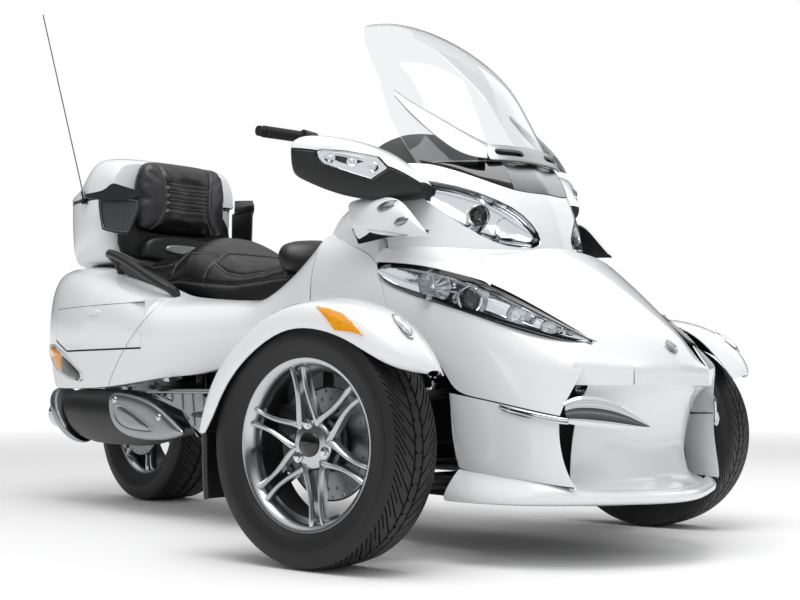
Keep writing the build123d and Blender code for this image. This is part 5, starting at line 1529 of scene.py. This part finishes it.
def addSeat():
    shape = bmesh.new()
    rows = []
    for y, half, middle, edge in seatTop:
        low = seatLook["low"] + 6
        side = [(0, low), (half * 0.6, low), (half - 18, low + 4), (half - 8, low + 40),
                (half - 3, (low + edge) / 2), (half, edge - 44), (half - 4, edge - 18), (half * 0.86, edge - 2),
                (half * 0.6, (edge + middle) / 2 + 2), (half * 0.3, middle), (0, middle + 1)]
        rows.append([(-x, y, z) for x, z in side] + [(x, y, z) for x, z in reversed(side[1:-1])])
    grid = loft(shape, rows, True)
    closeEnds(shape, grid, 0.5, 0.5)
    rows = []
    for x in (-170, -158, -120, -60, 0, 60, 120, 158, 170):
        bend, small = (x / 170) ** 2, 0.45 if abs(x) == 170 else 0.85 if abs(x) == 158 else 1
        y, z = 772 + 44 * bend, 834 - 12 * bend
        rows.append([(x, y + (34 * cos(t) + 20 * sin(t)) * small, z + (58 * sin(t) - 10 * cos(t)) * small)
                     for t in (pi * i / 7 for i in range(14))])
    grid = loft(shape, rows, True)
    closeEnds(shape, grid, 0.5, 0.5)
    seat = addPiece("seatCover", shape, [leather, leatherPaleSheen], "chassis", "black_leather", ["seat"], 60)
    smoothen(seat)
    puff(seat, seatLook, lambda place: place.z < seatLook["holdBelow"])
    tree = skinTree(seat)
    top = lambda normal, place: normal.z > 0.15
    arcs = [
        [(-206, 1188), (-150, 1178), (-70, 1172), (0, 1170), (70, 1172), (150, 1178), (206, 1188)],
        [(-204, 1395), (-150, 1420), (-70, 1432), (0, 1434), (70, 1432), (150, 1420), (204, 1395)],
        [(-150, 1196), (-176, 1290), (-150, 1404)], [(150, 1196), (176, 1290), (150, 1404)],
        [(-128, 822), (-158, 900), (-172, 1000), (-176, 1100), (-170, 1176)],
        [(128, 822), (158, 900), (172, 1000), (176, 1100), (170, 1176)],
        [(-128, 822), (-60, 800), (60, 800), (128, 822)], [(-150, 1424), (-172, 1500), (-172, 1600), (-150, 1650)],
        [(150, 1424), (172, 1500), (172, 1600), (150, 1650)],
    ]
    dent(seat, arcs, (0, 1), 5, 6, top)
    flank = [[(790, 770), (900, 758), (1050, 752), (1200, 768), (1330, 786), (1460, 782), (1640, 780)]]
    dent(seat, flank, (1, 2), 6, 6, lambda normal, place: abs(normal.x) > 0.5)
    smoothen(seat, 1)
    settle(seat)
    for number, arc in enumerate(arcs):
        addThread("seatThread%d" % number, [(x, y + 5, 0) for x, y in arc], tree, (0, 0, -1), 0.9, steps=8)


# half of the backrest's outline, as (across, height)
restLine = [(0, 1262), (90, 1262), (158, 1258), (180, 1222), (194, 1160), (192, 1080), (186, 1002), (150, 990),
            (80, 986), (0, 986)]


def addBackrest():
    shape = bmesh.new()
    outline = restLine + [(-x, z) for x, z in reversed(restLine[1:-1])]
    rows = []
    for y, share in ((1705, 0.93), (1700, 0.985), (1680, 1.0), (1662, 0.995), (1652, 0.96), (1646, 0.8),
                     (1645, 0.45), (1645, 0.15)):
        rows.append([(x * share, y + (8 if abs(x) < 100 and y < 1660 else 0), 1125 + (z - 1125) * share)
                     for x, z in outline])
    grid = loft(shape, rows, True)
    closeEnds(shape, grid, 0.6)
    rest = addPiece("backrestCover", shape, [leather, leatherPaleSheen], "chassis", "black_leather", ["backrest"], 60)
    smoothen(rest)
    back = spot(0, restLook["holdBehind"], 0).y
    puff(rest, restLook, lambda place: place.y > back)
    front = lambda normal, place: normal.y < -0.2
    tree = skinTree(rest)
    seams = [[(side * x, z) for x, z in ((112, 1258), (100, 1200), (92, 1160), (90, 1080), (112, 1030), (140, 990))]
             for side in (-1, 1)]
    channels = [[(-84, z), (84, z)] for z in (1166, 1137, 1108, 1079)]
    dent(rest, seams, (0, 2), 7, 6, front)
    dent(rest, channels, (0, 2), 7, 7, front)
    # the sides of the backrest's front take the paler leather, a painted sheen
    edge = spot(0, 1668, 0).y
    for face in rest.data.polygons:
        x, z = abs(face.center.x) * 1000, face.center.z * 1000
        line = between([(985, 140), (1030, 112), (1080, 90), (1160, 92), (1200, 100), (1260, 112)], z)
        face.material_index = 1 if x > line and face.center.y < edge else 0
    smoothen(rest, 1)
    settle(rest)
    for label, seam in zip(("Right", "Left"), seams):
        addThread("backrestThread" + label, [(x * 1.03, 0, z) for x, z in seam], tree, (0, 1, 0), 0.9, steps=8)
    for number, channel in enumerate(channels):
        addThread("backrestStitch%d" % number, [(x, 0, z + 6) for x, z in channel], tree, (0, 1, 0), 0.8, steps=16)


addShoulders()
addConsole()
addSeat()
addBackrest()
print("middle ready")


# the door in its opening, as (back, height) corners; the lamp sits below its rear end
doorLine = [(1252, 549), (1735, 549), (1838, 592), (1838, 698), (1252, 698)]
gapLine = [(1250, 543), (1738, 543), (1840, 584), (1840, 700), (1250, 700)]

flankRows = [
    (1250, [(392, 438), (404, 500), (408, 556), (408, 606), (402, 648), (376, 690), (318, 724), (250, 738)]),
    (1330, [(396, 430), (412, 496), (416, 556), (418, 612), (415, 664), (388, 712), (326, 750), (248, 764)]),
    (1480, [(398, 418), (418, 490), (423, 560), (425, 626), (424, 690), (394, 744), (330, 786), (246, 800)]),
    (1570, [(400, 415), (419, 490), (425, 563), (426, 636), (426, 706), (394, 766), (330, 806), (246, 818)]),
    (1592, [(400, 414), (421, 490), (433, 564), (434, 640), (427, 712), (393, 774), (330, 812), (246, 824)]),
    (1680, [(399, 413), (419, 490), (431, 566), (431, 650), (423, 730), (390, 796), (328, 832), (246, 846)]),
    (1800, [(392, 412), (410, 490), (422, 566), (422, 662), (412, 756), (380, 820), (320, 852), (246, 864)]),
    (1900, [(376, 414), (392, 492), (404, 570), (404, 676), (394, 774), (364, 838), (310, 862), (246, 870)]),
    (1980, [(346, 420), (364, 496), (374, 572), (374, 672), (362, 764), (334, 826), (292, 848), (244, 856)]),
    (2030, [(300, 440), (320, 506), (330, 572), (330, 662), (318, 742), (296, 796), (270, 820), (242, 828)]),
    (2045, [(250, 470), (262, 520), (268, 576), (268, 650), (262, 716), (254, 764), (248, 790), (240, 800)]),
]


def doorBlock(side, line):
    shape = bmesh.new()
    grid = loft(shape, [[(side * x, y, z) for y, z in line] for x in (350, 470)], True)
    shape.faces.new(grid[0])
    shape.faces.new(grid[1])
    return shape


def addFlank(side, label, lower):
    rows = []
    for y, row in panelRows + flankRows:
        inner = between([(433, row[0][0] - 30), (1180, row[0][0] - 50), (1250, 248), (2046, 240)], y)
        rows.append([(side * inner, y, row[0][1] + 5)] + [(side * x, y, z) for x, z in row])
    nodes = ["side_case_" + lower] + (["side_panels"] if side < 0 else [])
    flank = addSkin("bodySide" + label, rows, *painted, nodes,
                    (side, 0, 0.2), wall=3.5, creases=((1, 0.5),), levels=2)
    settle(flank)
    tree = skinTree(flank)
    door = bpy.data.objects.new("caseDoor" + label, flank.data.copy())
    bpy.context.scene.collection.objects.link(door)
    cutBy(flank, doorBlock(side, gapLine))
    cutBy(door, doorBlock(side, doorLine), "INTERSECT")
    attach(door, "side_case_door_" + lower)
    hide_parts("side_case_door_" + lower)
    tray = bmesh.new()
    section = ((400, 536), (386, 446), (252, 446), (252, 708), (376, 708), (396, 702))
    rows = [[(side * x, y, z) for x, z in section] for y in (1246, 1500, 1844)]
    grid = loft(tray, rows)
    for line in (grid[0], grid[-1]):
        tray.faces.new(line)
    faceOut(tray, (-side, 0, 0))
    thicken(addPiece("caseTray" + label, tray, [pearl], "chassis", "white_paint", (), 35, False), 3, 1, False)
    seam = ((1206, 735), (1210, 700), (1234, 642), (1330, 556), (1420, 475), (1482, 420))
    addThread("caseSeam" + label, [(0, y, z) for y, z in seam], tree, (-side, 0, 0), 1.2, sand, "silver_cast", 8,
              0.2)
    handle = oval((side * 430, 1545, 676), (0, 1, 0), (0, 0, 1), 46, 11)
    addBadge("doorPull" + label, handle, [(1, 0.2), (0.96, 4), (0.8, 6), (0, 6.5)], tree, (-side, 0, 0), [pearl],
             "white_paint", "side_case_door_" + lower)
    outlines = {
        "sideLampFrame": [(1944, 559), (1926, 576), (1861, 574), (1760, 541), (1634, 466), (1638, 446), (1664, 438),
                          (1752, 449), (1850, 478), (1918, 526)],
        "sideLampAmber": [(1930, 560), (1914, 567), (1862, 564), (1808, 546), (1790, 530), (1800, 496), (1820, 480),
                          (1850, 490), (1905, 528)],
        "sideLampDark": [(1778, 530), (1740, 516), (1648, 462), (1648, 452), (1668, 446), (1750, 458), (1806, 474),
                         (1790, 494)],
    }
    for name, finishes, slot, levels in (
            ("sideLampFrame", *chromed, [(1, 0.3), (0.985, 4), (0.94, 6), (0.9, 4), (0, 3)]),
            ("sideLampAmber", [amber], "clear_glass", [(1, 3.4), (0.97, 6), (0.8, 8), (0, 9)]),
            ("sideLampDark", *shiny, [(1, 3.4), (0.97, 5.5), (0.8, 7), (0, 7.5)])):
        ring = [Vector((side * 420, y, z)) for y, z in outlines[name]]
        fine = []
        for i, point in enumerate(ring):
            fine += [point.lerp(ring[(i + 1) % len(ring)], t / 3) for t in range(3)]
        addBadge(name + label, fine, levels, tree, (-side, 0, 0), finishes, slot)


def stack(outline, middle, levels):
    # an outline of (across, height) repeated at each (back, share), shrunk towards the middle height
    return [[(x * share, y, middle + (z - middle) * share) for x, z in outline] for y, share in levels]


def tub(name, rows, finishes, slot, replaced, body, aim, wall=3.5):
    # an open tub: the first row is its rim, the last one is closed
    shape = bmesh.new()
    grid = loft(shape, rows, True)
    crease(shape, grid[0], 1, True)
    closeEnd(shape, grid[-1], 0.5)
    faceOut(shape, aim)
    piece = addPiece(name, shape, finishes, body, slot, replaced, 35, False)
    smoothen(piece)
    thicken(piece, wall, 1, len(finishes) > 1)
    return piece


def addTopCase():
    half = [(0, 1716), (150, 1716), (236, 1719), (266, 1742), (288, 1790), (296, 1840), (293, 1920), (284, 1985),
            (262, 2030), (200, 2050), (100, 2057), (0, 2058)]
    outline = half + [(-x, y) for x, y in reversed(half[1:-1])]
    ring = lambda levels: [[(x * s, 1890 + (y - 1890) * s, z) for x, y in outline] for z, s in levels]
    rows = ring(((1118, 1), (1100, 1.003), (1040, 1), (960, 0.985), (905, 0.955), (882, 0.91), (874, 0.82),
                 (873, 0.6)))
    tub("topCaseTub", rows, *painted, ["top_case"], "chassis", (0, 0, -1))
    rows = []
    table = ((1715, 262, 1254), (1730, 270, 1266), (1770, 284, 1276), (1832, 296, 1282), (1872, 295, 1264),
             (1912, 292, 1228), (1950, 288, 1208), (2000, 280, 1196), (2035, 262, 1180), (2054, 240, 1158))
    for y, wide, top in table:
        rows.append([(0, y, top + 1), (wide * 0.5, y, top), (wide - 62, y, top - 7), (wide - 28, y, top - 24),
                     (wide - 9, y, top - 62), (wide - 1, y, (top + 1120) / 2 - 14), (wide, y, 1123)])
    rows.insert(0, [(x, 1716, 1123) for x, _, _ in rows[0]])
    rows.append([(x, 2056, 1123) for x, _, _ in rows[-1]])
    addSkin("topCaseLid", bothWays(rows), *painted, ["top_case_lid"], (0, 0, 1), body="top_case_lid",
            rowCreases=((1, 0.5), (-2, 0.4)))
    rows = ring(((1118.6, 0.99), (1117, 1.006), (1111, 1.007), (1109, 1.002)))
    addSkin("topCaseRim", rows, *plastic, aim=(0, 0, 1), wall=2, levels=1, ring=True)
    latch = [(x, 2059, z) for x, z in ((-52, 1128), (52, 1128), (58, 1142), (50, 1168), (-50, 1168), (-58, 1142))]
    addBody("lidLatch", [latch, [(x * 0.96, 2064, 1147 + (z - 1147) * 0.94) for x, y, z in latch],
                         [(x * 0.8, 2066, 1147 + (z - 1147) * 0.7) for x, y, z in latch]],
            *plastic, body="top_case_lid", levels=1)
    panel = [(236, 880), (246, 940), (244, 1010), (226, 1080), (150, 1100), (0, 1104)]
    outline = panel + [(-x, z) for x, z in reversed(panel[:-1])]
    addBody("restShell", stack(outline, 990, ((1714, 1), (1708, 1), (1702, 0.97), (1700, 0.9))), *plastic, levels=1)
    base = [(150, 884), (168, 900), (160, 948), (130, 978), (0, 984)]
    outline = base + [(-x, z) for x, z in reversed(base[:-1])]
    addBody("restFoot", stack(outline, 930, ((1704, 1), (1676, 1), (1664, 0.96), (1658, 0.86))), *plastic, levels=2)
    pad = ((70, 914), (78, 932), (70, 950), (-70, 950), (-78, 932), (-70, 914))
    addBody("restPad", stack(pad, 932, ((1660, 1), (1652, 0.98), (1650, 0.85))), [sand], "silver_cast", levels=2)


def addSpeakers():
    face = [(0.26, 962), (0.12, 1010), (0.0, 1062), (0.0, 1092), (0.5, 1100), (1.0, 1108), (1.04, 1092),
            (1.0, 1040), (0.93, 984), (0.6, 968)]
    for side, label, _ in sides:
        a, b, out = Vector((238, 1556, 0)), Vector((326, 1700, 0)), Vector((0.85, -0.52, 0))

        def at(s, z, share=1.0, lift=0.0, back=0.0):
            s, z = 0.5 + (s - 0.5) * share, 1034 + (z - 1034) * share
            point = (a.lerp(b, s) + out * lift).lerp(Vector((243, 1702, 0)), back)
            return (side * point.x, point.y, z)
        rows = [[at(s, z, 1 - back * 0.1, 0, back) for s, z in face] for back in (0.94, 0.5, 0.12, 0.0)]
        rows += [[at(s, z, share, lift) for s, z in face] for share, lift in ((0.95, 5), (0.87, 5), (0.84, 0))]
        addBody("speakerCase" + label, rows, *plastic, ["speakers"] if side < 0 else (), levels=2, ends=(0.4, 1),
                creases=[(c, 0.7) for c in (0, 3, 5, 8)])
        roof = [(-0.04, 1090), (0.0, 1116), (0.3, 1132), (0.62, 1150), (0.74, 1146), (0.82, 1124), (1.3, 1116),
                (1.32, 1106), (1.08, 1092), (0.5, 1084)]
        rows = [[at(s, z, 1, lift, back) for s, z in roof]
                for back, lift in ((0.8, 0), (0.4, 0), (0.06, 0), (0, 8), (0, 12))]
        addBody("speakerRoof" + label, rows, *plastic, levels=1, creases=[(c, 0.7) for c in (1, 3, 6, 7)])
        rows = [[at(s, z, share, lift) for s, z in face]
                for share, lift in ((0.86, 1), (0.8, 3), (0.5, 5), (0.2, 6))]
        addBody("speakerGrille" + label, rows, [grille], "smoked_steel", levels=2,
                creases=[(c, 0.7) for c in (0, 3, 5, 8)])
        rows = [[at(s, z, share, lift) for s, z in face]
                for share, lift in ((0.885, 4.5), (0.88, 7.5), (0.855, 7.5), (0.85, 2))]
        addSkin("speakerBezel" + label, rows, [satin], "chrome", aim=(side * 0.8, -0.5, 0), wall=0, levels=1,
                ring=True, creases=[(c, 0.7) for c in (0, 3, 5, 8)])


def addTail():
    rows = []
    for z, wide, shift in ((871, 230, -34), (862, 231, -10), (830, 230, 0), (740, 226, 0), (650, 216, 0),
                           (600, 208, -2), (552, 200, -8), (538, 196, -16)):
        rows.append([(x * wide / 230, y + shift * (y - 1884) / 147, z)
                     for x, y in ((0, 2031), (120, 2031), (186, 2028), (206, 2012), (222, 1950), (230, 1884))])
    addSkin("tailSkirt", bothWays(rows), *painted, ["tail_panel"], (0, 1, 0), rowCreases=((1, 0.3),))
    lens = [(-186, 748), (-190, 772), (-180, 794), (-90, 799), (90, 799), (180, 794), (190, 772), (186, 748),
            (90, 743), (-90, 743)]
    addBody("tailLampBed", stack(lens, 771, ((2032, 1.0), (2040, 1.0), (2042, 0.985), (2040, 0.95))), *shiny,
            levels=2)
    addBody("tailLamp", stack(lens, 771, ((2038, 0.96), (2050, 0.96), (2055, 0.93), (2057, 0.6))), [red],
            "clear_glass", ["rear_lamps"], levels=2)
    for side, label, _ in sides:
        addTube("grabRail" + label, flip(side, ((284, 1606, 812), (286, 1618, 850), (306, 1628, 880),
                (336, 1612, 892), (350, 1560, 886), (352, 1470, 858), (350, 1362, 812), (342, 1262, 764),
                (322, 1226, 746), (296, 1222, 726), (286, 1214, 706))),
                [13, 14, 15, 16, 16, 16, 15, 15, 14, 13, 12], *plastic,
                replaced=["grab_handles"] if side < 0 else (), facets=10, levels=1)
        rows = [[(side * x, y, z + dz) for x, dz in ((274, 0), (292, 6), (300, 2), (298, -26), (286, -48),
                (270, -50))] for y, z in ((1226, 742), (1300, 776), (1400, 812), (1500, 844), (1604, 872))]
        addBody("grabPad" + label, rows, *plastic, levels=2)


for side, label, lower in sides:
    addFlank(side, label, lower)
addTopCase()
addSpeakers()
addTail()
print("rear ready")


mufflerLook = {"x": -316, "z": 320, "wide": 68, "high": 96}


def addMuffler():
    x, z, wide, high = mufflerLook.values()
    rows = []
    for y, across, up, middle, lean in ((1010, 26, 26, 300, 0), (1080, 30, 30, 301, 0), (1180, 46, 56, 306, 0),
            (1290, 60, 84, 312, 0.1), (1400, 66, 96, 316, 0.3),
                                     (1640, 68, 98, 318, 0.6), (1868, 68, 96, 320, 0.8)):
        rows.append([(x + across * cos(t), y + up * sin(t) * lean, middle + up * sin(t))
                     for t in (2 * pi * i / 32 for i in range(32))])
    addBody("mufflerCan", rows, [coated], "black_plastic", ["muffler"], ends=(0, 0), levels=1)
    ring = lambda y, grow: [(x + (wide + grow) * cos(t), y + high * sin(t) * 0.8, z + (high + grow) * sin(t))
                            for t in (2 * pi * i / 40 for i in range(40))]
    addBody("mufflerBand", [ring(1864, 1), ring(1866, 5), ring(1908, 5), ring(1924, -2), ring(1926, -14),
                            ring(1914, -22)], *anodised, levels=1)
    addTurned("mufflerTip", (-314, 1900, 322), (0.002, 1, 0.02),
              [(0, 20), (46, 20), (46, 78), (47, 84), (50, 86), (53, 84), (54, 78), (54, 10), (50, 0)], *chromed,
              pair=False)


def leaf(points, x, share):
    y = sum(point[0] for point in points) / len(points)
    z = sum(point[1] for point in points) / len(points)
    return [(x, y + (py - y) * share, z + (pz - z) * share) for py, pz in points]


def addShield():
    outline = [(1498, 370), (1490, 392), (1450, 402), (1370, 398), (1280, 386), (1190, 366), (1110, 330),
               (1040, 292), (1018, 276), (1040, 264), (1120, 250), (1220, 246), (1317, 250), (1400, 264),
               (1460, 290), (1490, 330)]
    rows = [leaf(outline, x, share) for x, share in ((-362, 0.9), (-374, 0.985), (-382, 1), (-388, 0.985),
            (-394, 0.92), (-397, 0.78), (-398, 0.5))]
    addBody("heatShield", rows, *anodised, ["heat_shield"], levels=2)
    inner = [(1452, 340), (1440, 362), (1400, 366), (1330, 346), (1240, 312), (1180, 286), (1168, 276), (1190, 272),
             (1280, 274), (1370, 282), (1430, 308)]
    rows = [leaf(inner, x, share) for x, share in ((-392, 1), (-399, 1), (-401, 0.97), (-400, 0.9), (-398.6, 0.84),
            (-401, 0.7), (-403, 0.4))]
    addBody("shieldEmboss", rows, *anodised, levels=2)
    for number, (y, z) in enumerate(((1434, 376), (1150, 322))):
        addTurned("shieldScrew%d" % number, (-396, y, z), (-1, 0, 0),
                  [(0, 6.5), (7, 6.5), (10, 5), (12, 2), (12, -4)], *chromed, pair=False)


boardLook = {"ribs": (925, 985, 1045, 1105), "pads": 6, "firstPad": 672, "padStep": 48}


def addFootboards():
    plate = [(1243, 402), (1238, 388), (1180, 380), (1110, 372), (1050, 345), (1000, 300), (962, 262), (908, 258),
             (880, 290), (876, 404), (1040, 408), (1160, 408)]
    for side, label, _ in sides:
        rows = [leaf(plate, side * x, share) for x, share in ((352, 0.96), (354, 1), (368, 1), (371, 0.975))]
        addBody("sidePlate" + label, rows, *anodised, levels=1)
        for number, y in enumerate(boardLook["ribs"]):
            low = between([(876, 300), (962, 276), (1050, 352), (1110, 380), (1240, 392)], y)
            rib = [[(side * x, y + dy + (z - 330) * 0.15, z)
                    for x, dy in ((366, -9), (376, -4), (376, 4), (366, 9))] for z in (low, 398)]
            addBody("plateRib%d%s" % (number, label), rib, *anodised, levels=1)
        rail = [[(side * x, y, z) for x, z in ((352, 398), (384, 396), (390, 404), (386, 412), (352, 414))]
                for y in (872, 900, 1100, 1200, 1246)]
        addBody("plateRail" + label, rail, *anodised, levels=2)
        board = [[(side * x, y, z) for x, z in ((250, 323), (398, 323), (402, 334), (396, 345), (252, 345),
                (248, 334))] for y in (642, 660, 940, 958)]
        addBody("footBoard" + label, board, *steelPart, ["footrests"] if side < 0 else (), levels=1)
        for number in range(boardLook["pads"]):
            y = boardLook["firstPad"] + number * boardLook["padStep"]
            pad = [[(side * x, y + dy, z) for x, dy in ((264, 0), (384, 0), (384, 26), (264, 26))]
                   for z in (344, 350)]
            addBody("boardPad%d%s" % (number, label), pad, [rubber], "grip_rubber", levels=1)
        addTube("boardStay" + label, flip(side, ((236, 800, 300), (262, 800, 312), (300, 800, 322))), 11,
                *steelPart, facets=10)
        addTurned("footPeg" + label, (side * 246, 1143, 420), (side, 0, 0),
                  [(0, 0), (13, 0), (13, 60), (16, 64), (16, 150), (13, 156), (0, 158)], [rubber], "grip_rubber",
                  pair=False)


shockLook = {"foot": (470, 0, 226), "head": (220, 0, 575), "turns": 7, "perTurn": 14, "coil": 31, "wire": 5.5}


def addShocks():
    foot, head = Vector(shockLook["foot"]), Vector(shockLook["head"])
    coil, turns, perTurn = shockLook["coil"], shockLook["turns"], shockLook["perTurn"]
    along = (head - foot).normalized()
    length = (head - foot).length
    for side, label, _ in sides:
        at = lambda t: (side * (foot + along * length * t).x, 0, (foot + along * length * t).z)
        addTube("damper" + label, [at(t) for t in (0.02, 0.1, 0.101, 0.3, 0.301, 0.9, 0.901, 0.99)],
                [13, 13, 22, 22, 15, 15, 24, 20], *steelPart, replaced=["front_shocks"] if side < 0 else (),
                facets=20)
        wire = []
        for i in range(turns * perTurn + 1):
            t = 0.27 + 0.63 * i / (turns * perTurn)
            a = 2 * pi * i / perTurn
            point = foot + along * length * t
            out = cos(a) * coil
            wire.append((side * (point.x + out * along.z), sin(a) * coil, point.z - out * along.x))
        addTube("spring" + label, wire, shockLook["wire"], *chromed, facets=8)
        for number, t in enumerate((0.25, 0.91)):
            point = foot + along * length * t
            addTurned("springSeat%d%s" % (number, label), (side * point.x, 0, point.z),
                      (side * along.x, 0, along.z), [(0, -4), (38, -4), (40, 0), (38, 4), (0, 4)], *steelPart,
                      pair=False)


def addBelly():
    # dark side covers over the frame between the front arms and the engine; they also paint the shade behind the
    # springs, a dark sheet where shade falls
    rows = []
    for y, low, high in ((158, 196, 500), (240, 190, 516), (360, 188, 540), (480, 190, 556), (600, 192, 536),
                         (644, 196, 526)):
        rows.append([(x, y, low + (high - low) * share)
                     for x, share in ((244, 0), (262, 0.1), (272, 0.35), (282, 0.6), (296, 0.85), (306, 1))])
    addPair("bellyCover", rows, *plastic, (), (1, 0, 0), wall=3, levels=2, creases=((3, 0.6),))


addMuffler()
addBelly()
addShield()
addFootboards()
addShocks()
plain = {
    "antenna": gloss, "engine": coated, "frame_high": coated, "frame_low": coated, "frame_posts": coated,
    "frame_ties": coated, "front_trunk": darkAndShade, "grips": soft, "handlebar": coated, "knuckle_left": coated,
    "knuckle_right": coated, "plate_holder": moulded, "suspension_arms": coated, "swingarm": coated,
    "switch_boxes": moulded, "tie_rods": coated,
}
for node, finish in plain.items():
    for part in bpy.data.objects:
        if part.name == node or part.name.startswith(node + "."):
            for place in part.material_slots:
                place.material = finish
print("running gear ready")
